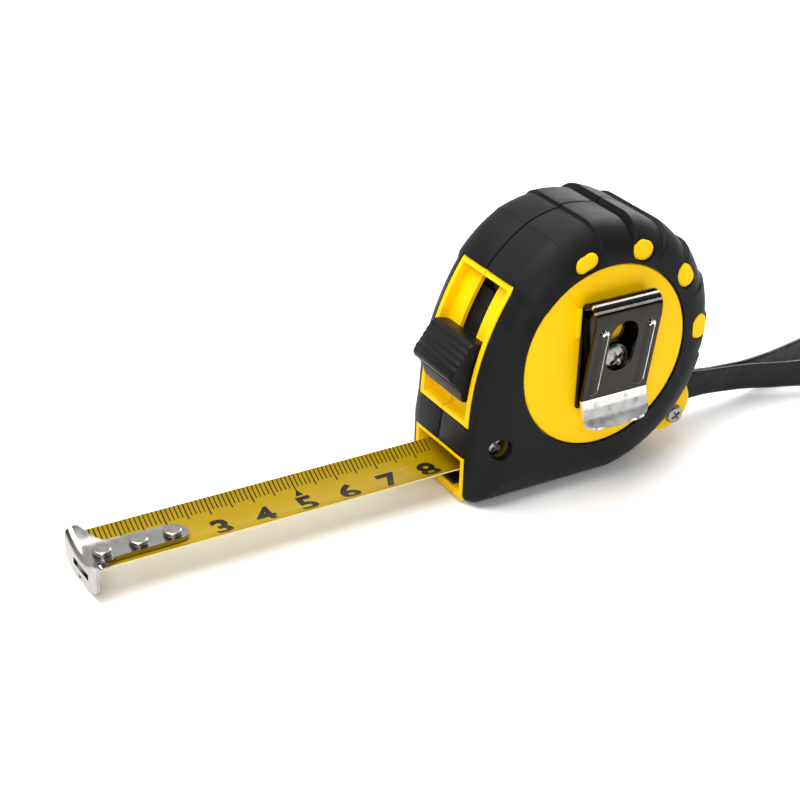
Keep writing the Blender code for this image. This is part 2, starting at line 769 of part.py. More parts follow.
def wrist_strap(look):
    """The strap's loop of flat webbing, standing on edge."""
    band = curve_object("wrist_strap", strap_route(), dimensions="3D")
    band.data.twist_mode = "Z_UP"
    band.data.bevel_depth = STRAP_T / 2 * MM
    band.data.bevel_resolution = 1
    band.data.extrude = (STRAP_W - STRAP_T) / 2 * MM
    band.data.use_fill_caps = True
    finish(to_mesh(band, "wrist_strap"), look)


def strap_end(look):
    """The two ends of the strap, sewn together and held by the lug screw."""
    outline = [(30.1, 5.2), (30.1, 12.4), (26.3, 13.0)] + arc(25.2, 9.0, 3.9, 120, 290, 8)
    tab = plate("strap_end", outline, -1.3, 1.3)
    cut(tab, rod("strap_eyelet", *LUG_SCREW, SCREW_WAY_R, -3.0, 3.0, 20))
    finish(tab, look)


def main():
    yellow = material("yellow_plastic", (0.83, 0.51, 0.004), 0.35)
    black = material("black_rubber", (0.012, 0.012, 0.013), 0.55)
    black_plastic = material("black_plastic", (0.01, 0.01, 0.011), 0.4)
    grey_plastic = material("grey_plastic", (0.05, 0.05, 0.055), 0.5)
    blade = material("printed_blade", (0.42, 0.27, 0.01), 0.3)
    steel = material("bright_steel", (0.62, 0.6, 0.57), 0.22, 1.0)
    dark_steel = material("dark_nickel", (0.16, 0.15, 0.14), 0.2, 1.0)
    spring = material("spring_steel", (0.3, 0.3, 0.32), 0.35, 1.0)
    webbing = material("black_webbing", (0.01, 0.01, 0.012), 0.45)

    for label, side in (("clip_side", -1), ("plain_side", 1)):
        case_shell("case_shell_" + label, side, yellow)
        rubber_grip("rubber_grip_" + label, side, black)
    mouth_bumper(black)
    tape_blade(blade)
    blade_lead(blade)
    reel(grey_plastic, blade, spring)
    reel_post(steel)
    end_hook(steel)
    hook_rivets(steel)
    thumb_lock(black_plastic)
    lock_tongue(black_plastic)
    brake_pad(black)
    clip_back_leg(dark_steel)
    clip_leaf(dark_steel)
    screw("clip_screw", CLIP_X, REEL_Z, CLIP_BACK_Y - CLIP_T / 2 - 0.2, 3.2, 1.2, 8.5, dark_steel)
    screw("front_case_screw", *FRONT_SCREW, -12.3, 2.4, 1.2, 16.0, steel)
    screw("lug_screw", *LUG_SCREW, -LUG_HALF - 0.2, 2.1, 0.9, 16.0, steel)
    wrist_strap(webbing)
    strap_end(webbing)


main()
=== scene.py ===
"""The looks of a pocket tape measure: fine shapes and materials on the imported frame.

Lengths are in millimetres and MM turns them into metres. The blade pays out along -X, the belt clip faces
-Y and Z is up. The origin is on the base of the case, straight below the reel.
"""

import json
from math import atan2, cos, degrees, hypot, pi, radians, sin, sqrt

import bmesh
import bpy
from mathutils import Matrix, Vector


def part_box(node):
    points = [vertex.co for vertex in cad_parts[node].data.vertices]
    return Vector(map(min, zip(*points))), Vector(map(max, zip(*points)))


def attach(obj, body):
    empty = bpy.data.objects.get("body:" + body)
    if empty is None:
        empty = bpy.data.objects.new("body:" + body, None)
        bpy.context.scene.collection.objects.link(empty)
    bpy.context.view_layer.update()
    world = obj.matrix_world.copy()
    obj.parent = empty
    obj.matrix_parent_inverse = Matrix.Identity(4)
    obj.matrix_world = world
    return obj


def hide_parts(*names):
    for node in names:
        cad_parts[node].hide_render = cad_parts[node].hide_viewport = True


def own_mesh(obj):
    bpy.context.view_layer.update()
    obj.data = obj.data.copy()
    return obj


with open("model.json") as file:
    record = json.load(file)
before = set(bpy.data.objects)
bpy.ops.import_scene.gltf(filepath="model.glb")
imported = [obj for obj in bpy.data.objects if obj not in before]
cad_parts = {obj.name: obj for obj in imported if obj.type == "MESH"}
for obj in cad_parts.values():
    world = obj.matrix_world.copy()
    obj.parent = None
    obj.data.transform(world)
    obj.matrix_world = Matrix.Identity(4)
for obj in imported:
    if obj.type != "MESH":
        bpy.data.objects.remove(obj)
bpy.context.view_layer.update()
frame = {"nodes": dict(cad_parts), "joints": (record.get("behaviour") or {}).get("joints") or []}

MM = 0.001
JOINTS = {joint["name"]: joint for joint in frame["joints"]}


def joint_mm(name):
    return [value / MM for value in JOINTS[name]["pos_m"]]


def low_mm(node):
    return [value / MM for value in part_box(node)[0]]


def high_mm(node):
    return [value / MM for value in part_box(node)[1]]


def middle_mm(node):
    return [(a + b) / 2 for a, b in zip(low_mm(node), high_mm(node))]


# Case
REEL_Z = joint_mm("reel_spin")[2]
ARC_X, _, ARC_Z = joint_mm("lock_slide")
ARC_R = 57.0  # radius of the curved front
FRONT_X = low_mm("rubber_grip_clip_side")[0]  # front face at the mouth
SEAM_Y = 0.4  # the two halves meet here
SEAM_GAP = 0.3
TOE_R = 2.5
RUBBER = 2.0
RUBBER_Y = -low_mm("rubber_grip_clip_side")[1]
CROWN = 8.0
SHELL = (13.9, 5.7)  # the yellow shell's side face and crown, outside
CAVITY = (12.1, 3.9)  # and inside
DISC_R = 21.14
DISC_Y = 15.6
# Each grip pad: the angle where it starts, its radius just after that step, its radius at its end, and
# how deep a groove parts it from the next.
PADS = (
    (139.0, 28.1, 29.25, 0.0),
    (114.0, 29.4, 29.35, 0.1),
    (96.5, 29.9, 29.3, 0.6),
    (77.0, 30.5, 29.95, 0.35),
    (58.5, 30.85, 30.25, 0.3),
    (40.5, 31.2, 30.6, 0.3),
    (22.5, 31.4, 30.85, 0.3),
    (4.5, 31.5, 31.0, 0.3),
    (-13.5, 31.5, 32.09, 0.0),
)
GROOVE_SPAN = 2.6  # degrees
STEP_SPAN = 0.8  # degrees over which a pad rises out of the groove
BACK_END = -80.0  # the round back meets the flat base at this angle
PAD_FADE = 7.0  # the pads' steps have died out this far in from the rim

# Openings in the front
WINDOW_HALF = 9.64
WINDOW_Z = (18.4, 49.7)
RIM = 1.3
WINDOW_DEPTH = 2.2
FRAME_ROUND = 0.22  # radius of the yellow frames' edges
SLOT_HALF = 3.2
SLOT_Z = (23.0, 47.4)
MOUTH_Z = (0.8, 11.1)

# Blade
BLADE_W = 16.0
BLADE_T = 0.25
BLADE_R = 12.2
BLADE_Z = 5.1  # lowest line of the concave face
TIP_X = low_mm("tape_blade")[0]
MOUTH_X = high_mm("tape_blade")[0]
ZERO_X = -114.8  # inner face of the hook, where the scale starts
INK_LIFT = 0.02
NUMERAL_SIZE = 8.1
NUMERAL_WEIGHT = 0.25
NUMERAL_STRETCH = 1.1
NUMERAL_FOOT = 4.0  # from the middle line towards the near edge

# Hook
HOOK_T = 0.8
HOOK_SEAT = BLADE_Z + 0.3  # underside of its arm, on the middle line
HOOK_CURL = 12.8  # radius of its saddle
HOOK_X = low_mm("end_hook")[0]
HOOK_HALF = 8.2
HOOK_END_X = high_mm("end_hook")[0]
HOOK_TIP_Z = low_mm("end_hook")[2]
RIVETS = tuple(middle_mm(f"hook_rivet_{i}")[0] for i in (1, 2, 3))

# Belt clip
CLIP_X = middle_mm("belt_clip_leaf")[0]
CLIP_HALF = 8.6
CLIP_T = 0.8
CLIP_BEND = (-18.6, 43.9, 2.3)  # y, z and radius of the top roll
BACK_LEG_Y = -16.3
LIP_END_Z = 16.4
LIP_TOP_Z = 23.3
HIGHLIGHT_TURNS = ((108, 118), (140, 156))  # where the top roll gets a painted highlight, round its own middle
RIB_Z = (25.6, 39.8)
RIB_X = (-6.1, 6.1)

# Strap lug
LUG = (23.5, 11.0, 6.6)
LUG_HALF = 10.0
EAR_INNER = 1.75
LUG_SCREW = (25.6, 8.1)
FRONT_SCREW = (-25.6, 14.9)
STRAP_W = 7.6
STRAP_T = 1.1
STRAP_LEAN = 13.0  # degrees that its top leans forward beside the case
STRAP_WAVE = 0.12  # how far it waves to each side

# Spots of yellow plastic that show through the rubber: direction and distance from the reel, length, width
# and turn from the tangent
SPOTS = (
    (106.0, 23.5, 5.9, 3.7, 4),
    (70.6, 24.2, 5.6, 4.5, 0),
    (35.4, 24.9, 5.8, 4.3, -6),
    (2.3, 25.7, 6.1, 4.1, 0),
)


# ------------ camera, floor and light


BRIGHT_SIDE = (0.42, 0.84, 0.34)  # the direction where the sky is brightest
SKY_RANGE = (0.14, 0.95)  # its strength, dimmest to brightest


def camera():
    """The photo's viewpoint, solved from the marks of the printed scale."""
    eye = Vector((-0.22948, -0.30488, 0.215705))
    right = Vector((0.85919734, -0.5108558, 0.02839521))
    up = Vector((0.22013123, 0.41919236, 0.88080645))
    back = Vector((-0.46186814, -0.75053588, 0.47262428))
    data = bpy.data.cameras.new("camera")
    data.sensor_width = 36.0
    data.lens = 85.76
    data.clip_start = 0.01
    made = bpy.data.objects.new("camera", data)
    bpy.context.scene.collection.objects.link(made)
    turn = Matrix((right, up, back)).transposed().to_4x4()
    made.matrix_world = Matrix.Translation(eye) @ turn
    bpy.context.scene.camera = made


def area_light(name, place, aim, size, power):
    data = bpy.data.lights.new(name, "AREA")
    data.shape = "RECTANGLE"
    data.size, data.size_y = size
    data.energy = power
    made = bpy.data.objects.new(name, data)
    bpy.context.scene.collection.objects.link(made)
    made.location = place
    made.rotation_euler = (Vector(aim) - Vector(place)).to_track_quat("-Z", "Y").to_euler()


def sky(world):
    """Bright behind the object and near the horizon, dim overhead and towards the viewer."""
    nodes, links = world.node_tree.nodes, world.node_tree.links
    shader = nodes["Background"]
    shader.inputs["Color"].default_value = (1.0, 1.0, 1.0, 1.0)
    place = nodes.new("ShaderNodeTexCoord").outputs["Generated"]
    tilt = nodes.new("ShaderNodeVectorMath")
    tilt.operation = "DOT_PRODUCT"
    tilt.inputs[1].default_value = BRIGHT_SIDE
    links.new(place, tilt.inputs[0])
    ranged = nodes.new("ShaderNodeMapRange")
    ranged.interpolation_type = "SMOOTHSTEP"
    for socket, value in zip(("From Min", "From Max", "To Min", "To Max"), (-0.3, 0.8, *SKY_RANGE)):
        ranged.inputs[socket].default_value = value
    links.new(tilt.outputs["Value"], ranged.inputs["Value"])
    links.new(ranged.outputs["Result"], shader.inputs["Strength"])


def studio():
    world = bpy.data.worlds.new("studio")
    world.use_nodes = True
    sky(world)
    bpy.context.scene.world = world
    bpy.context.scene.view_settings.view_transform = "Standard"
    area_light("overhead", (-0.25, 0.08, 0.85), (0, 0, 0.02), (0.9, 0.8), 10.5)
    area_light("front", (-0.45, -0.62, 0.45), (0, 0, 0.03), (0.4, 0.3), 3.3)
    area_light("side", (0.45, 0.35, 0.35), (0.0, 0, 0.04), (0.3, 0.4), 2.2)
    shape = bmesh.new()
    bmesh.ops.create_grid(shape, x_segments=1, y_segments=1, size=2.0)
    floor = from_bmesh("floor", shape)
    floor.data.materials.append(floor_paint())


# ------------ shape helpers


def new_object(name, mesh):
    made = bpy.data.objects.new(name, mesh)
    bpy.context.scene.collection.objects.link(made)
    return made


def from_bmesh(name, shape):
    bmesh.ops.recalc_face_normals(shape, faces=shape.faces)
    mesh = bpy.data.meshes.new(name)
    shape.to_mesh(mesh)
    shape.free()
    return new_object(name, mesh)


def lofted(name, rings):
    """A closed solid through rings of (x, y, z) points, all with the same number of points."""
    shape = bmesh.new()
    loops = [[shape.verts.new(Vector(point) * MM) for point in ring] for ring in rings]
    for near, far in zip(loops, loops[1:]):
        for i, corner in enumerate(near):
            following = (i + 1) % len(near)
            shape.faces.new((corner, near[following], far[following], far[i]))
    shape.faces.new(loops[0])
    shape.faces.new(loops[-1])
    return from_bmesh(name, shape)


def turned(name, profile, centre, toward, segments=64):
    """A closed (radius, height) profile turned about an axis through centre. Ends at radius 0 are poles."""
    axis = Vector(toward).normalized()
    side = axis.orthogonal().normalized()
    other = axis.cross(side)
    middle = Vector(centre)
    shape = bmesh.new()
    rows = []
    for radius, height in profile:
        at = middle + axis * height
        if radius < 1e-6:
            rows.append([shape.verts.new(at * MM)])
            continue
        turns = [2 * pi * i / segments for i in range(segments)]
        rows.append([
            shape.verts.new((at + (side * cos(a) + other * sin(a)) * radius) * MM) for a in turns
        ])
    pairs = list(zip(rows, rows[1:]))
    if len(rows[0]) > 1:
        pairs.append((rows[-1], rows[0]))
    for near, far in pairs:
        for i in range(segments):
            after = (i + 1) % segments
            corners = [near[i % len(near)], near[after % len(near)]]
            corners += [far[after % len(far)], far[i % len(far)]]
            corners = list(dict.fromkeys(corners))
            if len(corners) > 2:
                shape.faces.new(corners)
    return from_bmesh(name, shape)


def disc(name, x, z, radius, y_from, y_to, rounding, segments):
    """A short round bar along Y with rounded edges."""
    low, high = sorted((y_from, y_to))
    turns = [radians(15 * i) for i in range(7)]
    edge = [(radius - rounding * (1 - sin(t)), low + rounding * (1 - cos(t))) for t in turns]
    far = [(radius - rounding * (1 - cos(t)), high - rounding * (1 - sin(t))) for t in turns]
    return turned(name, [(0, low)] + edge + far + [(0, high)], (x, 0, z), (0, 1, 0), segments)


def drill(name, x, z, radius, y_from, y_to, segments):
    """A round cutter along Y, its edges left sharp."""
    return disc(name, x, z, radius, y_from, y_to, 0.01, segments)


def box(name, low, high):
    shape = bmesh.new()
    bmesh.ops.create_cube(shape, size=1.0)
    low, high = Vector(low) * MM, Vector(high) * MM
    for corner in shape.verts:
        corner.co = Vector(a + (b - a) * (c + 0.5) for a, b, c in zip(low, high, corner.co))
    return from_bmesh(name, shape)


def slab(name, x_from, x_to, y_from, y_to, z_from, z_to):
    low, high = sorted((y_from, y_to))
    return box(name, (x_from, low, z_from), (x_to, high, z_to))


def plate(name, outline, y_from, y_to):
    """A closed (x, z) outline given its thickness along Y."""
    return lofted(name, [[(x, y, z) for x, z in outline] for y in (y_from, y_to)])


def arc(x, z, radius, start, end, steps):
    turns = [radians(start + (end - start) * i / steps) for i in range(steps + 1)]
    return [(x + radius * cos(t), z + radius * sin(t)) for t in turns]


def stadium(x, z, length, width, turn, steps=14):
    """The outline of a slot with round ends, its length turned from the x axis."""
    reach, r = (length - width) / 2, width / 2
    ends = arc(reach, 0, r, -90, 90, steps) + arc(-reach, 0, r, 90, 270, steps)
    c, s = cos(radians(turn)), sin(radians(turn))
    return [(x + a * c - b * s, z + a * s + b * c) for a, b in ends]


def evaluated(obj):
    bpy.context.view_layer.update()
    graph = bpy.context.evaluated_depsgraph_get()
    mesh = bpy.data.meshes.new_from_object(obj.evaluated_get(graph))
    obj.modifiers.clear()
    obj.data = mesh


def carved(target, *cutters):
    for cutter in cutters:
        change = target.modifiers.new(cutter.name, "BOOLEAN")
        change.operation = "DIFFERENCE"
        change.solver = "EXACT"
        change.object = cutter
    evaluated(target)
    for cutter in cutters:
        bpy.data.objects.remove(cutter)


def rounded(obj, width, segments):
    change = obj.modifiers.new("rounded", "BEVEL")
    change.width = width * MM
    change.segments = segments
    change.limit_method = "ANGLE"
    change.angle_limit = radians(40)
    evaluated(obj)


def rim_faces(shape, top, under):
    """Closes the four edges between two grids of corners, and returns the faces made."""
    made = []
    for i in (0, -1):
        for j in range(len(top[0]) - 1):
            made.append(shape.faces.new((top[i][j], top[i][j + 1], under[i][j + 1], under[i][j])))
    for i in range(len(top) - 1):
        for j in (0, -1):
            made.append(shape.faces.new((top[i][j], top[i + 1][j], under[i + 1][j], under[i][j])))
    return made


def sheet(name, steps, across_steps, place, thickness):
    """A curved plate. place(along, across) gives its middle surface for along 0..1 and across -1..1."""
    shape = bmesh.new()
    small = 1e-3

    def offset_row(along, lift):
        row = []
        for j in range(across_steps + 1):
            across = -1 + 2 * j / across_steps
            here = Vector(place(along, across))
            before, after = place(max(along - small, 0), across), place(min(along + small, 1), across)
            left, right = place(along, max(across - small, -1)), place(along, min(across + small, 1))
            ahead, aside = Vector(after) - Vector(before), Vector(right) - Vector(left)
            normal = ahead.cross(aside).normalized()
            row.append(shape.verts.new((here + normal * lift) * MM))
        return row

    grids = []
    for lift in (thickness / 2, -thickness / 2):
        grids.append([offset_row(i / steps, lift) for i in range(steps + 1)])
    for rows in grids:
        for near, far in zip(rows, rows[1:]):
            for j in range(across_steps):
                shape.faces.new((near[j], near[j + 1], far[j + 1], far[j]))
    rim_faces(shape, *grids)
    return from_bmesh(name, shape)


def relief(name, ys, zs, place, back, open_at):
    """A solid on a grid of y and z lines. place and back give its front and rear points, and it has a
    through hole wherever open_at(y, z) holds."""
    shape = bmesh.new()
    front = [[shape.verts.new(Vector(place(y, z)) * MM) for z in zs] for y in ys]
    rear = [[shape.verts.new(Vector(back(y, z)) * MM) for z in zs] for y in ys]
    kept = {
        (i, j)
        for i in range(len(ys) - 1)
        for j in range(len(zs) - 1)
        if not open_at((ys[i] + ys[i + 1]) / 2, (zs[j] + zs[j + 1]) / 2)
    }
    sides = (
        ((-1, 0), (0, 0), (0, 1)),
        ((1, 0), (1, 0), (1, 1)),
        ((0, -1), (0, 0), (1, 0)),
        ((0, 1), (0, 1), (1, 1)),
    )
    for i, j in kept:
        for grid in (front, rear):
            shape.faces.new((grid[i][j], grid[i + 1][j], grid[i + 1][j + 1], grid[i][j + 1]))
        for (di, dj), (ai, aj), (bi, bj) in sides:
            if (i + di, j + dj) not in kept:
                a, b = (i + ai, j + aj), (i + bi, j + bj)
                shape.faces.new((front[a[0]][a[1]], front[b[0]][b[1]], rear[b[0]][b[1]], rear[a[0]][a[1]]))
    loose = [corner for corner in shape.verts if not corner.link_faces]
    bmesh.ops.delete(shape, geom=loose, context="VERTS")
    return from_bmesh(name, shape)


def with_edges(low, high, edges, spacing):
    """Grid lines from low to high, close together at both sides of each edge."""
    lines = {low, high}
    for edge in edges:
        lines.update(edge + d for d in (-0.25, -0.18, -0.1, -0.04, 0.0, 0.04, 0.1, 0.18, 0.25))
    count = max(1, round((high - low) / spacing))
    lines.update(low + (high - low) * i / count for i in range(count + 1))
    kept = []
    for line in sorted(value for value in lines if low <= value <= high):
        if not kept or line - kept[-1] > 0.015:
            kept.append(line)
    return kept


def eased(value):
    value = max(0.0, min(1.0, value))
    return value * value * (3 - 2 * value)


def smooth(obj, angle=32):
    obj.data.shade_smooth()
    obj.data.set_sharp_from_angle(angle=radians(angle))


def done(obj, look, body, slot, *nodes, angle=32):
    """Smooth shading, its material, the body it rides on and the CAD nodes that it stands for."""
    smooth(obj, angle)
    if look is not None:
        obj.data.materials.clear()
        obj.data.materials.append(look)
    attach(obj, body)
    if nodes:
        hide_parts(*nodes)


# ------------ materials


class Look:
    """A Principled material with short calls for the nodes that drive it."""

    def __init__(self, name, colour, roughness, metallic=0.0):
        self.made = bpy.data.materials.new(name)
        self.made.use_nodes = True
        self.nodes = self.made.node_tree.nodes
        self.links = self.made.node_tree.links
        self.shader = self.nodes["Principled BSDF"]
        self.colour = colour
        self.set("Base Color", (*colour, 1.0))
        self.set("Roughness", roughness)
        self.set("Metallic", metallic)
        self.place = self.nodes.new("ShaderNodeTexCoord").outputs["Object"]
        self.normal = None

    def set(self, socket, value):
        self.shader.inputs[socket].default_value = value

    def stretched(self, scale):
        mapping = self.nodes.new("ShaderNodeMapping")
        mapping.inputs["Scale"].default_value = scale
        self.links.new(self.place, mapping.inputs["Vector"])
        return mapping.outputs["Vector"]

    def noise(self, scale, detail=4.0, roughness=0.55, stretch=None):
        made = self.nodes.new("ShaderNodeTexNoise")
        made.inputs["Scale"].default_value = scale
        made.inputs["Detail"].default_value = detail
        made.inputs["Roughness"].default_value = roughness
        source = self.place if stretch is None else self.stretched(stretch)
        self.links.new(source, made.inputs["Vector"])
        return made.outputs["Fac"]

    def ranged(self, value, low, high, from_low=0.3, from_high=0.7):
        made = self.nodes.new("ShaderNodeMapRange")
        self.links.new(value, made.inputs["Value"])
        made.inputs["From Min"].default_value = from_low
        made.inputs["From Max"].default_value = from_high
        made.inputs["To Min"].default_value = low
        made.inputs["To Max"].default_value = high
        return made.outputs["Result"]

    def tint(self, value, other):
        """Mixes the base colour towards another by a value."""
        made = self.nodes.new("ShaderNodeMix")
        made.data_type = "RGBA"
        source = self.shader.inputs["Base Color"]
        if source.is_linked:
            self.links.new(source.links[0].from_socket, made.inputs["A"])
        else:
            made.inputs["A"].default_value = (*self.colour, 1.0)
        made.inputs["B"].default_value = (*other, 1.0)
        self.links.new(value, made.inputs["Factor"])
        self.links.new(made.outputs["Result"], source)

    def rough(self, value):
        self.links.new(value, self.shader.inputs["Roughness"])

    def bump(self, height, distance, strength):
        made = self.nodes.new("ShaderNodeBump")
        made.inputs["Strength"].default_value = strength
        made.inputs["Distance"].default_value = distance
        self.links.new(height, made.inputs["Height"])
        if self.normal is not None:
            self.links.new(self.normal, made.inputs["Normal"])
        self.normal = made.outputs["Normal"]
        self.links.new(self.normal, self.shader.inputs["Normal"])


def floor_paint():
    look = Look("floor_paint", (0.92, 0.92, 0.92), 0.6)
    look.set("Specular IOR Level", 0.2)
    look.tint(look.ranged(look.noise(6.0), 0.0, 0.25), (0.90, 0.90, 0.905))
    return look.made


def yellow_plastic():
    look = Look("yellow_plastic", (0.93, 0.56, 0.0), 0.38)
    look.set("Specular IOR Level", 0.1)
    look.tint(look.ranged(look.noise(60.0, 3.0), 0.0, 0.5), (0.87, 0.51, 0.0))
    look.rough(look.ranged(look.noise(900.0, 5.0), 0.32, 0.46))
    look.bump(look.noise(5000.0, 2.0), 0.00002, 0.25)
    look.bump(look.noise(250.0, 3.0), 0.0001, 0.12)
    return look.made


def dim_yellow():
    """Painted shade: the yellow plastic darkened on the wall of the deep screw hole, where shade falls."""
    look = Look("dim_yellow", (0.16, 0.115, 0.01), 0.5)
    look.set("Specular IOR Level", 0.1)
    look.tint(look.ranged(look.noise(500.0, 4.0), 0.0, 0.8), (0.08, 0.06, 0.01))
    return look.made


def black_rubber():
    look = Look("black_rubber", (0.005, 0.005, 0.0055), 0.5)
    look.set("Specular IOR Level", 0.12)
    blotch = look.noise(110.0, 6.0, 0.6)
    look.tint(look.ranged(blotch, 0.0, 1.0), (0.009, 0.0088, 0.0088))
    dust = look.ranged(look.noise(1900.0, 3.0), 0.0, 0.5, 0.70, 0.80)
    look.tint(dust, (0.04, 0.039, 0.037))
    look.rough(look.ranged(blotch, 0.40, 0.58))
    look.bump(look.noise(3500.0, 3.0), 0.00003, 0.35)
    look.bump(look.noise(160.0, 4.0), 0.0003, 0.16)
    return look.made


def black_plastic():
    look = Look("black_plastic", (0.005, 0.005, 0.0055), 0.38)
    look.set("Specular IOR Level", 0.13)
    look.tint(look.ranged(look.noise(300.0, 4.0), 0.0, 0.6), (0.009, 0.009, 0.0095))
    look.rough(look.ranged(look.noise(700.0, 5.0), 0.3, 0.48))
    look.bump(look.noise(6000.0, 2.0), 0.00002, 0.3)
    return look.made


def grey_plastic():
    look = Look("grey_plastic", (0.05, 0.05, 0.055), 0.5)
    look.tint(look.ranged(look.noise(300.0), 0.0, 0.5), (0.07, 0.07, 0.075))
    look.rough(look.ranged(look.noise(800.0), 0.42, 0.58))
    return look.made


def blade_lacquer():
    look = Look("blade_lacquer", (0.33, 0.215, 0.001), 0.3)
    look.set("Specular IOR Level", 0.08)
    look.set("Coat Weight", 0.6)
    look.set("Coat IOR", 1.2)
    look.set("Coat Roughness", 0.05)
    streaks = look.noise(1.0, 4.0, 0.6, (120.0, 4000.0, 400.0))
    look.tint(look.ranged(look.noise(90.0, 4.0), 0.0, 0.6), (0.28, 0.18, 0.001))
    look.rough(look.ranged(streaks, 0.24, 0.38))
    look.bump(streaks, 0.00001, 0.25)
    return look.made


def blade_back():
    look = Look("blade_back", (0.66, 0.55, 0.26), 0.34)
    look.tint(look.ranged(look.noise(120.0, 4.0), 0.0, 0.6), (0.58, 0.47, 0.2))
    look.rough(look.ranged(look.noise(1.0, 4.0, 0.6, (120.0, 4000.0, 400.0)), 0.26, 0.42))
    return look.made


def blade_ink():
    look = Look("blade_ink", (0.006, 0.005, 0.004), 0.35)
    look.set("Specular IOR Level", 0.08)
    look.set("Coat Weight", 0.5)
    look.set("Coat IOR", 1.2)
    look.set("Coat Roughness", 0.08)
    look.tint(look.ranged(look.noise(1600.0, 3.0), 0.0, 0.8), (0.014, 0.011, 0.007))
    return look.made


def hook_steel():
    look = Look("hook_steel", (0.38, 0.36, 0.34), 0.16, 1.0)
    look.tint(look.ranged(look.noise(260.0, 5.0), 0.0, 0.7), (0.26, 0.245, 0.23))
    scratches = look.noise(1.0, 6.0, 0.7, (1500.0, 9000.0, 1500.0))
    look.rough(look.ranged(look.noise(500.0, 6.0, 0.65), 0.1, 0.24))
    look.bump(scratches, 0.00001, 0.35)
    look.bump(look.noise(180.0, 4.0), 0.0003, 0.12)
    return look.made


def bright_steel():
    look = Look("bright_steel", (0.36, 0.345, 0.325), 0.24, 1.0)
    look.tint(look.ranged(look.noise(700.0, 5.0), 0.0, 0.8), (0.24, 0.23, 0.215))
    look.rough(look.ranged(look.noise(900.0, 5.0), 0.16, 0.36))
    look.bump(look.noise(1500.0, 4.0), 0.00003, 0.25)
    return look.made


# Painted shade: the clip's nickel given a dark base colour that stands in for the dark surroundings it
# reflects.
def dark_nickel():
    look = Look("dark_nickel", (0.04, 0.036, 0.033), 0.14, 1.0)
    look.tint(look.ranged(look.noise(150.0, 5.0), 0.0, 0.6), (0.026, 0.023, 0.021))
    look.rough(look.ranged(look.noise(1.0, 6.0, 0.7, (700.0, 700.0, 5000.0)), 0.09, 0.22))
    look.bump(look.noise(140.0, 3.0), 0.0002, 0.08)
    return look.made


def polished_nickel():
    """Painted highlights on the clip: bright nickel on its top roll's crests and on one flank of each rib,
    and on its lip, a painted reflection with smudges of wear.
    """
    look = Look("polished_nickel", (0.96, 0.95, 0.93), 0.3, 1.0)
    smudge = look.ranged(look.noise(420.0, 6.0, 0.7), 0.0, 0.8, 0.5, 0.72)
    look.tint(smudge, (0.5, 0.48, 0.46))
    look.rough(look.ranged(look.noise(300.0, 6.0, 0.65), 0.24, 0.5))
    look.bump(look.noise(900.0, 4.0), 0.00003, 0.2)
    return look.made


def spring_steel():
    look = Look("spring_steel", (0.3, 0.3, 0.32), 0.35, 1.0)
    look.rough(look.ranged(look.noise(500.0), 0.28, 0.42))
    return look.made


def webbing():
    look = Look("black_webbing", (0.004, 0.004, 0.0045), 0.36)
    look.set("Specular IOR Level", 0.16)
    look.place = look.nodes.new("ShaderNodeUVMap").outputs["UV"]
    look.tint(look.ranged(look.noise(1.0, 4.0, 0.6, (60.0, 8.0, 1.0)), 0.0, 0.8), (0.009, 0.009, 0.01))
    look.rough(look.ranged(look.noise(1.0, 4.0, 0.6, (90.0, 14.0, 1.0)), 0.26, 0.46))
    look.bump(look.noise(1.0, 3.0, 0.5, (22.0, 3.0, 1.0)), 0.0009, 0.5)
    look.bump(look.noise(1.0, 2.0, 0.5, (520.0, 46.0, 1.0)), 0.00012, 0.4)
    return look.made


YELLOW = yellow_plastic()
PAINTED_SHADE_YELLOW = dim_yellow()
RUBBER_LOOK = black_rubber()
BLACK = black_plastic()
GREY = grey_plastic()
LACQUER = blade_lacquer()
BLADE_BACK = blade_back()
INK = blade_ink()
HOOK_STEEL = hook_steel()
STEEL = bright_steel()
SHADED_NICKEL = dark_nickel()
PAINTED_HIGHLIGHT = polished_nickel()
SPRING = spring_steel()
WEBBING = webbing()


# ------------ case outline


def back_radius(angle, depth):
    """The round back's radius by direction. The pads' steps fade with depth, leaving their mean."""
    ends = [pad[0] for pad in PADS[1:]] + [BACK_END]
    before = PADS[0][1]
    for (start, rise, fall, groove), end in zip(PADS, ends):
        if angle >= end or end == BACK_END:
            pad = rise + (fall - rise) * (start - angle) / (start - end)
            pad -= groove * eased(1 - (angle - end) / GROOVE_SPAN)
            stepped = before + (pad - before) * eased((start - angle) / STEP_SPAN)
            mean = (rise + fall) / 2 if end != BACK_END else pad
            keep = 1 - eased(depth / PAD_FADE)
            return mean + (stepped - mean) * keep
        before = fall - groove


def back_angles():
    ends = [pad[0] for pad in PADS[1:]] + [BACK_END]
    shares = (0.0, 0.015, 0.03, 0.045, 0.1, 0.25, 0.45, 0.65, 0.8, 0.85, 0.88, 0.91, 0.94, 0.97, 0.99)
    angles = []
    for (start, *_), end in zip(PADS, ends):
        if end == BACK_END:
            shares += tuple(0.1 + 0.07 * i for i in range(13))
        angles += [start + (end - start) * share for share in sorted(set(shares))]
    return angles + [BACK_END]


def case_outline(inset):
    """The side view of the case, from the toe up the front, over the top and round the back."""
    corner = max(TOE_R - inset, 0.2)
    toe = arc(FRONT_X + inset + corner, inset + corner, corner, 270, 180, 6)
    front = [(FRONT_X + inset, 13.0)] + arc(ARC_X, ARC_Z, ARC_R - inset, 179.2, 147.5, 24)
    back = []
    for angle in back_angles():
        radius = back_radius(angle, inset) - inset
        back.append((radius * cos(radians(angle)), REEL_Z + radius * sin(radians(angle))))
    return toe + front + back


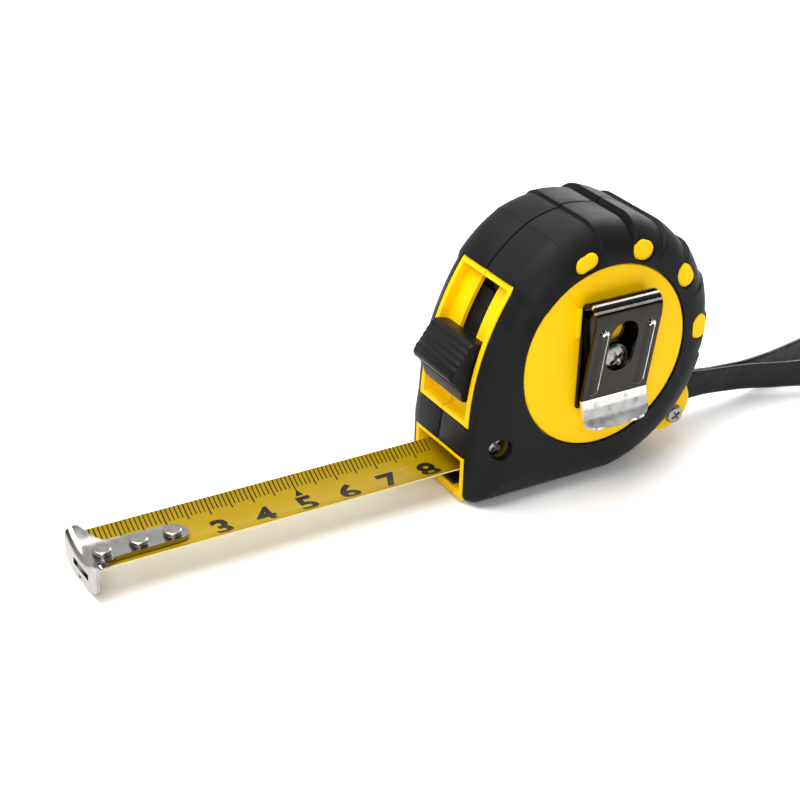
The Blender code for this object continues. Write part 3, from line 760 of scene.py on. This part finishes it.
def crowned(name, side, start, inset, side_y, crown, edge=0.0):
    """The case's outline from y = start to its side face, with the edge rounded over."""
    rings = [(start, inset + edge)]
    if edge:
        rings += [(start + side * edge * 0.3, inset + edge * 0.3), (start + side * edge, inset)]
    steps = 12
    for step in range(steps + 1):
        turn = radians(90 * step / steps)
        rings.append((side * (side_y - crown * (1 - sin(turn))), inset + crown * (1 - cos(turn))))
    return lofted(name, [[(x, y, z) for x, z in case_outline(depth)] for y, depth in rings])


def seam(side):
    return SEAM_Y + side * SEAM_GAP / 2


def side_name(side):
    return "clip_side" if side < 0 else "plain_side"


def spot_outline(spot, grow=0.0):
    direction, distance, length, width, turn = spot
    x, z = distance * cos(radians(direction)), REEL_Z + distance * sin(radians(direction))
    return stadium(x, z, length + grow * 2, width + grow * 2, direction + 90 + turn)


def rubber_grip(side):
    """The soft cover of one half."""
    name = "rubber_" + side_name(side)
    half = WINDOW_HALF + 0.18
    lug_x, lug_z, lug_r = LUG
    past = SEAM_Y - side
    cover = crowned(name, side, seam(side), 0.0, RUBBER_Y, CROWN, 0.32)
    cutters = [
        crowned("inside", side, past, RUBBER, RUBBER_Y - RUBBER + 0.2, CROWN - RUBBER),
        drill("panel_hole", 0, REEL_Z, DISC_R + 0.2, side * 9, side * 18, 128),
        slab("window_hole", -40, -14, past, side * half, WINDOW_Z[0] - 0.18, WINDOW_Z[1] + 0.18),
        slab("mouth_hole", -40, -25.7, past - side, side * half, -1, MOUTH_Z[1] + 0.18),
        drill("lug_gap", lug_x, lug_z, lug_r + 0.25, past, side * (LUG_HALF + 0.25), 64),
    ]
    cutters += [
        plate(f"spot_hole_{i}", spot_outline(spot, 0.16), side * 9, side * 18)
        for i, spot in enumerate(SPOTS)
    ]
    if side < 0:
        cutters.append(drill("screw_hole", *FRONT_SCREW, 2.5, -9, -18, 48))
    carved(cover, *cutters)
    done(cover, RUBBER_LOOK, "case", "black_rubber", "rubber_grip_" + side_name(side), angle=28)


# ------------ yellow shell


def under_front(depth, z):
    """x at a depth under the curved front, at a height."""
    return ARC_X - sqrt((ARC_R - depth) ** 2 - (z - ARC_Z) ** 2)


def pocket_depth(y, z, half, low, high, depth):
    """How deep a box-shaped pocket with a rounded rim is at a point."""
    edge = FRAME_ROUND
    inside = min(half - abs(y), z - low, high - z)
    if inside <= -edge:
        return 0.0
    if inside <= 0:
        return edge - sqrt(max(0.0, edge**2 - (inside + edge) ** 2))
    return edge + (depth - edge) * min(1.0, inside / 0.05)


def rim_round(y, z, half, low, high):
    """How far the frame's outer edge is rounded off."""
    edge = FRAME_ROUND
    inside = min(half - abs(y), z - low, high - z)
    if inside >= edge:
        return 0.0
    return edge - sqrt(max(0.0, edge**2 - (edge - max(inside, 0.0)) ** 2))


def window_frame(side):
    """Half of the yellow window: its rim, curved floor and slot."""
    low_z, high_z = WINDOW_Z

    def depth(y, z):
        pocket = pocket_depth(y, z, WINDOW_HALF - RIM, low_z + RIM, high_z - RIM, WINDOW_DEPTH)
        return max(pocket, rim_round(y, z, WINDOW_HALF, low_z, high_z))

    def place(y, z):
        return under_front(depth(y, z), z), y, z

    def back(y, z):
        return under_front(WINDOW_DEPTH + 0.95, z), y, z

    def in_slot(y, z):
        return abs(y) < SLOT_HALF and SLOT_Z[0] < z < SLOT_Z[1]

    near, far = seam(side), side * WINDOW_HALF
    inner = side * (WINDOW_HALF - RIM)
    ys = with_edges(min(near, far), max(near, far), (inner, side * SLOT_HALF, far, near), 1.5)
    zs = with_edges(low_z, high_z, (low_z, low_z + RIM, high_z - RIM, high_z, *SLOT_Z), 0.9)
    frame_half = relief("window_" + side_name(side), ys, zs, place, back, in_slot)
    done(frame_half, YELLOW, "case", "yellow_plastic", angle=50)


def mouth_frame(side):
    """Half of the yellow rim round the mouth, with the passage behind it."""
    low_z, high_z = MOUTH_Z
    wall, lip = 8.55, 2.8

    def place(y, z):
        outer = rim_round(y, z, WINDOW_HALF, low_z, high_z)
        inside = min(wall - abs(y), z - lip, high_z - 0.9 - z)
        inner = rim_round(0, -max(inside, -1.0), 9, 0, 9) if inside > -FRAME_ROUND else 0.0
        return FRONT_X + max(outer, inner), y, z

    def back(y, z):
        return -26.0, y, z

    def passage(y, z):
        return abs(y) < wall and lip < z < high_z - 0.9

    near, far = seam(side), side * WINDOW_HALF
    ys = with_edges(min(near, far), max(near, far), (side * wall, far), 1.5)
    zs = with_edges(low_z, high_z, (low_z, lip, high_z - 0.9, high_z), 1.0)
    rim = relief("mouth_rim_" + side_name(side), ys, zs, place, back, passage)
    done(rim, YELLOW, "case", "yellow_plastic", angle=50)


def shell_wall(side):
    """The plastic wall under the rubber. Its clip side has painted shade on the wall of the deep screw hole.
    """
    past = SEAM_Y - side
    look = YELLOW
    wall = crowned("shell_" + side_name(side), side, seam(side), RUBBER + 0.3, *SHELL)
    carved(
        wall,
        crowned("cavity", side, past, RUBBER + 2.1, *CAVITY),
        drill("panel_seat", 0, REEL_Z, DISC_R - 0.6, side * 9, side * 18, 64),
        slab("window_way", -40, -14, past, side * WINDOW_HALF, WINDOW_Z[0], WINDOW_Z[1]),
        slab("mouth_way", -40, -25.5, past - side, side * WINDOW_HALF, -1, MOUTH_Z[1]),
    )
    if side < 0:
        carved(wall, drill("screw_way", *FRONT_SCREW, 2.8, -9, -17, 40))
        wall.data.materials.append(YELLOW)
        wall.data.materials.append(PAINTED_SHADE_YELLOW)
        # Faces within 3 mm of the front screw's axis take the painted shade.
        for face in wall.data.polygons:
            x, _, z = face.center / MM
            face.material_index = int(hypot(x - FRONT_SCREW[0], z - FRONT_SCREW[1]) < 3.0)
        look = None
    done(wall, look, "case", "yellow_plastic", "case_shell_" + side_name(side))


def side_panel(side):
    """The round yellow panel and, on the clip side, the rib that keeps the clip from turning."""
    name = "panel_" + side_name(side)
    panel = disc(name, 0, REEL_Z, DISC_R, side * 12.3, side * DISC_Y, 0.45, 128)
    if side < 0:
        carved(panel, drill("clip_way", CLIP_X, REEL_Z, 1.4, -11, -17, 32))
    done(panel, YELLOW, "case", "yellow_plastic")
    if side < 0:
        rib = box("clip_guide_rib", (-8.9, -16.7, 38.0), (-7.75, -15.0, 44.8))
        rounded(rib, 0.3, 3)
        done(rib, YELLOW, "case", "yellow_plastic")


def spots(side):
    """The oval spots, with a domed face."""
    dome = ((12.5, 0.0), (14.9, 0.0), (15.15, -0.08), (15.3, -0.3), (15.36, -0.7))
    for i, spot in enumerate(SPOTS):
        piece = lofted(
            f"spot_{i + 1}_{side_name(side)}",
            [[(x, side * y, z) for x, z in spot_outline(spot, grow)] for y, grow in dome],
        )
        done(piece, YELLOW, "case", "yellow_plastic")


def lug_ear(side):
    x, z, radius = LUG
    ear = disc("lug_ear_" + side_name(side), x, z, radius, side * EAR_INNER, side * LUG_HALF, 0.9, 72)
    if side < 0:
        carved(ear, drill("screw_seat", *LUG_SCREW, 2.25, -9.3, -12, 40))
    done(ear, YELLOW, "case", "yellow_plastic")


# ------------ thumb lock


def thumb_lock():
    """The ribbed button: a ramp of finger ridges, a round nose, and a stepped foot on the window's floor."""
    top, nose = Vector((-29.3, 37.0)), Vector((-33.9, 31.3))
    ramp, ribs = nose - top, 5
    out = Vector((-ramp.y, ramp.x)).normalized()
    out = out if out.x < 0 else -out
    profile = [(-26.6, 36.75), (-28.2, 37.2), (-28.9, 37.25)]
    for i in range(ribs):
        for share in (0.0, 0.2, 0.4, 0.6, 0.8):
            lift = 0.24 * sin(pi * share) ** 0.7 if share else 0.0
            point = top + ramp * ((i + share) / ribs) + out * lift
            profile.append(tuple(point))
    profile += arc(-32.95, 30.2, 1.4, 140, 250, 8)
    profile += [(-33.0, 28.7), (-32.75, 28.5), (-32.85, 28.1), (-32.4, 27.6), (-32.2, 27.55), (-32.3, 27.1)]
    profile += [(-31.95, 26.6), (-31.5, 26.5), (-31.45, 25.9), (-31.2, 24.6), (-30.9, 23.9), (-30.3, 23.7)]
    profile += [(under_front(WINDOW_DEPTH - 0.25, z), z) for z in (23.8, 26.0, 29.0, 32.0, 34.5, 36.4)]
    middle = Vector((sum(x for x, _ in profile), sum(z for _, z in profile))) / len(profile)
    rings = []
    near_side = [(-7.85, 0.62), (-7.78, 0.3), (-7.55, 0.1), (-7.2, 0.0)]
    for y, shrink in near_side + [(-y, shrink) for y, shrink in near_side[::-1]]:
        ring = []
        for x, z in profile:
            inward = middle - Vector((x, z))
            at = Vector((x, z)) + inward * (shrink / max(inward.length, 1.0))
            ring.append((at.x, y, at.y))
        rings.append(ring)
    button = lofted("lock_button", rings)
    done(button, BLACK, "lock", "black_plastic", "thumb_lock", angle=30)


# ------------ blade and hook


def on_blade(x, across_mm, lift=0.0):
    """A point on the blade's concave face, given its distance across from the middle line."""
    angle = across_mm / BLADE_R
    radius = BLADE_R - lift
    return x, radius * sin(angle), BLADE_Z + BLADE_R - radius * cos(angle)


def blade():
    steps, across = 60, 32
    shape = bmesh.new()
    grids = []
    for lift in (0.0, -BLADE_T):
        grid = []
        for i in range(steps + 1):
            x = TIP_X + (MOUTH_X - TIP_X) * i / steps
            row = [on_blade(x, BLADE_W * (j / across - 0.5), lift) for j in range(across + 1)]
            grid.append([shape.verts.new(Vector(point) * MM) for point in row])
        grids.append(grid)
    for which, grid in enumerate(grids):
        for i in range(steps):
            for j in range(across):
                face = shape.faces.new((grid[i][j], grid[i][j + 1], grid[i + 1][j + 1], grid[i + 1][j]))
                face.material_index = which
    for face in rim_faces(shape, *grids):
        face.material_index = 1
    strip = from_bmesh("blade_strip", shape)
    strip.data.materials.append(LACQUER)
    strip.data.materials.append(BLADE_BACK)
    done(strip, None, "case", "printed_blade", "tape_blade")
    shortened(strip)


def shortened(piece):
    """Gives the piece its own copy of its mesh."""
    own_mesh(piece)


def ink_patch(shape, corners):
    """A printed quad, split across so that it follows the blade's curl. corners are (x, across) pairs."""
    (xa, ya), (xb, yb), (xc, yc), (xd, yd) = corners
    parts = 6
    last = None
    for i in range(parts + 1):
        share = i / parts
        left = on_blade(xa + (xd - xa) * share, ya + (yd - ya) * share, INK_LIFT)
        right = on_blade(xb + (xc - xb) * share, yb + (yc - yb) * share, INK_LIFT)
        row = [shape.verts.new(Vector(p) * MM) for p in (left, right)]
        if last:
            shape.faces.new((last[0], last[1], row[1], row[0]))
        last = row


def scale_ticks():
    """A mark each millimetre along the far edge, longer at 5 and 10, and a pointer at 5 cm."""
    shape = bmesh.new()
    edge = BLADE_W / 2
    count = int(MOUTH_X - 1 - ZERO_X)
    for i in range(2, count):
        x = ZERO_X + i
        length = 4.3 if i % 10 == 0 else 4.0 if i % 5 == 0 else 3.2
        half = 0.15 if i % 5 == 0 else 0.13
        foot, head = edge - length, edge - 0.05
        ink_patch(shape, ((x - half, foot), (x + half, foot), (x + half, head), (x - half, head)))
    x = ZERO_X + 50
    ink_patch(shape, ((x - 0.95, 2.2), (x + 0.95, 2.2), (x + 0.06, 4.0), (x - 0.06, 4.0)))
    marks = from_bmesh("scale_marks", shape)
    done(marks, INK, "case", "printed_blade")
    shortened(marks)


def numeral(value, x):
    """A bold numeral with its foot towards the near edge, laid on the curl."""
    text = bpy.data.curves.new(f"numeral_{value}", "FONT")
    text.body = str(value)
    text.align_x = "CENTER"
    text.size = NUMERAL_SIZE
    text.offset = NUMERAL_WEIGHT
    text.resolution_u = 6
    drawn = new_object(f"numeral_{value}", text)
    bpy.context.view_layer.update()
    graph = bpy.context.evaluated_depsgraph_get()
    mesh = bpy.data.meshes.new_from_object(drawn.evaluated_get(graph))
    bpy.data.objects.remove(drawn)
    shape = bmesh.new()
    shape.from_mesh(mesh)
    for i in range(1, 18):
        geom = shape.verts[:] + shape.edges[:] + shape.faces[:]
        bmesh.ops.bisect_plane(shape, geom=geom, plane_co=(0, i * 0.35, 0), plane_no=(0, 1, 0))
    for corner in shape.verts:
        across = corner.co.y - NUMERAL_FOOT
        corner.co = Vector(on_blade(x + corner.co.x * NUMERAL_STRETCH, across, INK_LIFT)) * MM
    piece = from_bmesh(f"numeral_{value}", shape)
    done(piece, INK, "case", "printed_blade")
    shortened(piece)


def hook_half_width(x):
    """Half the arm's width: wide at the bend, waisted behind it, narrowing to a round end."""
    bend, neck = HOOK_X + 2.2, HOOK_X + 7.5
    if x < neck:
        return 3.5 + (HOOK_HALF - 3.5) * eased((neck - x) / (neck - bend)) ** 1.35
    straight = 3.5 - 0.03 * (x - neck)
    end_r = 3.0
    reach = HOOK_END_X - x
    if reach < end_r:
        return max(0.25, min(straight, sqrt(max(0.0, end_r**2 - (end_r - reach) ** 2))))
    return straight


def end_hook():
    """Pressed steel: an arm in the blade's trough, saddled at the bend, and a plate turned down."""
    bend_r = 1.3
    middle_x = HOOK_X + HOOK_T / 2
    trough = HOOK_SEAT + HOOK_T / 2
    arm_end, bend_end = 0.58, 0.76

    def place(along, across):
        if along <= arm_end:
            share = (along / arm_end) ** 0.9
            x = HOOK_END_X - 0.02 + (middle_x + bend_r - HOOK_END_X) * share
            half = hook_half_width(x)
        else:
            x, half = middle_x + bend_r, HOOK_HALF
        y = half * across
        top = trough + HOOK_CURL - sqrt(HOOK_CURL**2 - y**2)
        if along <= arm_end:
            return x, y, top
        turn = min(1.0, (along - arm_end) / (bend_end - arm_end)) * pi / 2
        x, z = x - bend_r * sin(turn), top - bend_r * (1 - cos(turn))
        low = HOOK_TIP_Z + 0.05 + 2.9 * (1 - sqrt(max(0.0, 1 - (abs(y) / (HOOK_HALF + 0.3)) ** 2.4)))
        down = max(0.0, (along - bend_end) / (1 - bend_end))
        return x, y, z + (low - z) * down

    hook = sheet("hook", 120, 48, place, HOOK_T)
    carved(
        hook,
        box("nail_notch", (-118, -1.3, -1), (-113, 1.3, 1.9)),
        box("nail_slot", (-118, -3.8, 3.0), (-114.2, 3.8, 4.5)),
    )
    done(hook, HOOK_STEEL, "hook", "hook_steel", "end_hook", angle=40)


def rivets():
    """Flat-topped rivet heads with a deep round rim."""
    for i, x in enumerate(RIVETS, start=1):
        base, top = low_mm(f"hook_rivet_{i}")[2], high_mm(f"hook_rivet_{i}")[2]
        seat = HOOK_SEAT + HOOK_T + 0.12
        rim = [(1.96, seat), (2.0, seat + 0.12)]
        for turn in (0, 20, 40, 60, 80):
            rim.append((1.5 + 0.5 * cos(radians(turn)), top - 0.5 + 0.46 * sin(radians(turn))))
        profile = [(0.0, base), (1.4, base), (1.5, base + 0.1), (1.5, base + 0.3), (0.95, base + 0.32)]
        profile += [(0.95, seat)] + rim + [(1.2, top - 0.01), (0.6, top + 0.03), (0.0, top + 0.05)]
        head = turned(f"rivet_{i}", profile, (x, 0, 0), (0, 0, 1), 48)
        done(head, STEEL, "blade", "bright_steel", f"hook_rivet_{i}")


# ------------ belt clip


def along_path(path, share):
    """The point at a share of a polyline's length."""
    lengths = [hypot(b[0] - a[0], b[1] - a[1]) for a, b in zip(path, path[1:])]
    left = share * sum(lengths)
    for a, b, length in zip(path, path[1:], lengths):
        if left <= length or b == path[-1]:
            t = min(1.0, left / length)
            return a[0] + (b[0] - a[0]) * t, a[1] + (b[1] - a[1]) * t
        left -= length


def rib_lift(x, z):
    """The two long ribs pressed into the leaf."""
    lift = 0.0
    for centre in RIB_X:
        beyond = max(0.0, RIB_Z[0] - z, z - RIB_Z[1])
        off = hypot(x - CLIP_X - centre, beyond)
        lift = max(lift, 0.55 * eased((1.3 - off) / 0.75))
    return lift


def on_rib_flank(x, z):
    """The flank of each rib that faces away from the mouth, and its round upper end, where the painted
    highlight goes.
    """
    for centre in RIB_X:
        off = x - CLIP_X - centre
        if RIB_Z[0] < z < RIB_Z[1] and 0.6 < off < 1.15:
            return True
        if z >= RIB_Z[1] and 0.35 < hypot(off, z - RIB_Z[1]) < 1.15 and off > -0.6:
            return True
    return False


def clip_leaf():
    """The sprung leaf with its ribs, slot and flared lip with round corners."""
    bend = arc(*CLIP_BEND, 94, 178, 16)
    path = bend + [(-20.9, 42.0), (-18.15, 24.6), (-18.0, 23.6), (-18.1, 22.8), (-18.5, 21.2), (-19.3, 18.9)]
    path.append((-20.4, LIP_END_Z))
    lip_r = 3.0

    def place(along, across):
        y, z = along_path(path, along)
        reach = z - LIP_END_Z
        half = CLIP_HALF
        if reach < lip_r and along > 0.5:
            half -= 0.55 * lip_r * (1 - sqrt(max(0.0, 1 - (1 - reach / lip_r) ** 2)))
        x = CLIP_X + half * across
        bow = 0.9 * across**2 if along > 0.9 else 0.0
        z += bow * eased((along - 0.9) / 0.1)
        lift = rib_lift(x, z) if along > 0.2 else 0.0
        return x, y - lift, z

    leaf = sheet("clip_leaf", 130, 72, place, CLIP_T)
    leaf.data.materials.append(SHADED_NICKEL)
    leaf.data.materials.append(PAINTED_HIGHLIGHT)
    # The lip, the top roll's crests and one flank of each rib take the painted highlight. The other faces
    # take the nickel with painted shade.
    for face in leaf.data.polygons:
        place_y, place_z = face.center.y / MM, face.center.z / MM
        turn = degrees(atan2(place_z - CLIP_BEND[1], place_y - CLIP_BEND[0]))
        painted_bright = place_z < LIP_TOP_Z or any(low < turn < high for low, high in HIGHLIGHT_TURNS)
        painted_bright = painted_bright or on_rib_flank(face.center.x / MM, place_z)
        face.material_index = 1 if painted_bright else 0
    carved(leaf, plate("leaf_slot", stadium(CLIP_X - 0.55, 35.8, 12.6, 7.3, 90, 24), -24.0, -18.6))
    done(leaf, None, "clip_leaf", "dark_nickel", "belt_clip_leaf", angle=40)


def clip_back_leg():
    path = [(BACK_LEG_Y, 21.0), (BACK_LEG_Y, 42.5)] + arc(*CLIP_BEND, 0, 86, 16)

    def place(along, across):
        y, z = along_path(path, along)
        return CLIP_X + CLIP_HALF * across, y, z

    leg = sheet("clip_back", 60, 8, place, CLIP_T)
    carved(
        leg,
        drill("leg_hole", CLIP_X, REEL_Z, 1.4, -18, -14, 32),
        plate("leg_slot", stadium(CLIP_X, 38.6, 6.4, 5.0, 90), -17.5, -15.5),
    )
    # The back leg takes the same nickel with painted shade.
    done(leg, SHADED_NICKEL, "case", "dark_nickel", "belt_clip_back_leg", angle=40)


# ------------ screws


def screw(node, radius, head_h):
    """A cross-head screw in place of its plain node, its head facing -Y."""
    low, high = low_mm(node), high_mm(node)
    x, z = (low[0] + high[0]) / 2, (low[2] + high[2]) / 2
    face, tip = low[1], high[1]
    profile = [(0.0, 0.0), (radius * 0.45, 0.015), (radius * 0.75, 0.08), (radius * 0.93, 0.25 * head_h)]
    profile += [(radius, 0.55 * head_h), (radius, head_h), (1.1, head_h), (1.1, tip - face - 0.8)]
    profile += [(0.5, tip - face), (0.0, tip - face)]
    made = turned(node + "_fine", profile, (x, face, z), (0, 1, 0), 48)
    reach, slot = radius * 0.62, radius * 0.15  # half the length and half the width of the cross
    cutters = []
    for turn in (32, 122):
        c, s = cos(radians(turn)), sin(radians(turn))
        rings = []
        for y, share in ((face - 0.3, 1.1), (face + head_h * 0.8, 0.55)):
            end = reach * share
            corners = ((end, slot), (-end, slot), (-end, -slot), (end, -slot))
            rings.append([(x + a * c - b * s, y, z + a * s + b * c) for a, b in corners])
        cutters.append(lofted(f"cross_{turn}", rings))
    carved(made, *cutters)
    done(made, STEEL, "case", "bright_steel", node)


# ------------ strap


def smooth_through(points, per_span):
    """A Catmull-Rom curve through the points."""
    ends = [points[0]] + list(points) + [points[-1]]
    curve = []
    for a, b, c, d in zip(ends, ends[1:], ends[2:], ends[3:]):
        a, b, c, d = (Vector(p) for p in (a, b, c, d))
        for i in range(per_span):
            t = i / per_span
            curve.append(
                0.5 * (2 * b + (c - a) * t + (2 * a - 5 * b + 4 * c - d) * t**2)
                + 0.5 * (3 * b - a - 3 * c + d) * t**3
            )
    return [tuple(p) for p in curve] + [tuple(points[-1])]


def strap_route():
    """Out from the lug on the clip side, round the far end of the loop and back on the plain side."""
    leg = (
        (30.9, 0.75, 8.9),
        (38.0, 0.75, 8.3),
        (46.0, 0.8, 7.6),
        (54.0, 1.2, 6.8),
        (64.0, 3.0, 5.8),
        (76.0, 5.6, 5.0),
        (90.0, 9.0, 4.3),
        (104.0, 11.6, 4.0),
        (116.0, 12.2, 4.0),
        (127.0, 12.0, 4.0),
        (133.0, 10.4, 4.0),
        (137.4, 6.0, 4.0),
    )
    out = [(x, -y, z) for x, y, z in leg]
    back = [(x, y, z - 0.7 * max(0.0, 1 - x / 90)) for x, y, z in leg[::-1]]
    return smooth_through(out + [(139.0, 0.0, 4.0)] + back, 8)


def wrist_strap():
    """Flat webbing on edge: thicker along its woven edges, a little wavy."""
    route = [Vector(p) for p in strap_route()]
    half, thick = STRAP_W / 2, STRAP_T / 2
    section = []
    for i in range(15):
        across = -1 + 2 * i / 14
        bulge = 0.72 + 0.28 * abs(across) ** 1.5 if abs(across) < 0.93 else 0.55
        section.append((across * half, thick * bulge))
    outline = [(z, n) for z, n in section] + [(z, -n) for z, n in reversed(section)]
    shape = bmesh.new()
    uv = shape.loops.layers.uv.new("UVMap")
    rows, run, travelled = [], [], 0.0
    for i, at in enumerate(route):
        ahead = route[min(i + 1, len(route) - 1)] - route[max(i - 1, 0)]
        aside = ahead.cross(Vector((0, 0, 1))).normalized()
        upward = aside.cross(ahead).normalized()
        if i:
            travelled += (at - route[i - 1]).length
        lean = radians(STRAP_LEAN) * eased((at.x - 32) / 12) * eased((95 - at.x) / 40)
        forward = Vector((0, -sin(lean), cos(lean) - 1))
        wave = STRAP_WAVE * sin(travelled * 0.55) * eased((travelled - 3) / 8)
        rows.append([
            shape.verts.new((at + (upward + forward) * z + aside * (n + wave * cos(z * 0.5))) * MM)
            for z, n in outline
        ])
        run.append(travelled / 100)
    total = len(outline)
    for i in range(len(rows) - 1):
        for j in range(total):
            after = (j + 1) % total
            face = shape.faces.new((rows[i][j], rows[i][after], rows[i + 1][after], rows[i + 1][j]))
            marks = ((run[i], j), (run[i], j + 1), (run[i + 1], j + 1), (run[i + 1], j))
            for loop, (u, v) in zip(face.loops, marks):
                loop[uv].uv = (u, v / total)
    shape.faces.new(rows[0])
    shape.faces.new(rows[-1])
    strap = from_bmesh("strap_webbing", shape)
    done(strap, WEBBING, "case", "black_webbing", "wrist_strap", angle=60)
    [value * MM for value in route[0]]
    [[value * MM for value in p] for p in route]


# ------------ everything


def restyled(node, look):
    """A CAD node whose shape is right, shaded smooth with a finished material."""
    obj = frame["nodes"][node]
    smooth(obj, 35)
    obj.data.materials.clear()
    obj.data.materials.append(look)


def main():
    camera()
    wrist_strap()
    studio()
    for side in (-1, 1):
        rubber_grip(side)
        shell_wall(side)
        window_frame(side)
        mouth_frame(side)
        side_panel(side)
        spots(side)
        lug_ear(side)
    thumb_lock()
    blade()
    scale_ticks()
    for value in range(3, 9):
        numeral(value, ZERO_X + 10 * value + 0.1)
    end_hook()
    rivets()
    clip_leaf()
    clip_back_leg()
    screw("clip_screw", 3.2, 1.05)
    screw("front_case_screw", 2.4, 1.2)
    screw("lug_screw", 2.1, 1.0)
    inner_looks = (
        (BLACK, ("lock_tongue", "strap_end")),
        (RUBBER_LOOK, ("mouth_bumper", "brake_pad")),
        (LACQUER, ("blade_lead", "wound_blade")),
        (GREY, ("reel_hub", "reel_flange_clip_side", "reel_flange_plain_side")),
        (STEEL, ("reel_post",)),
        (SPRING, ("mainspring",)),
    )
    for look, nodes in inner_looks:
        for node in nodes:
            restyled(node, look)


main()
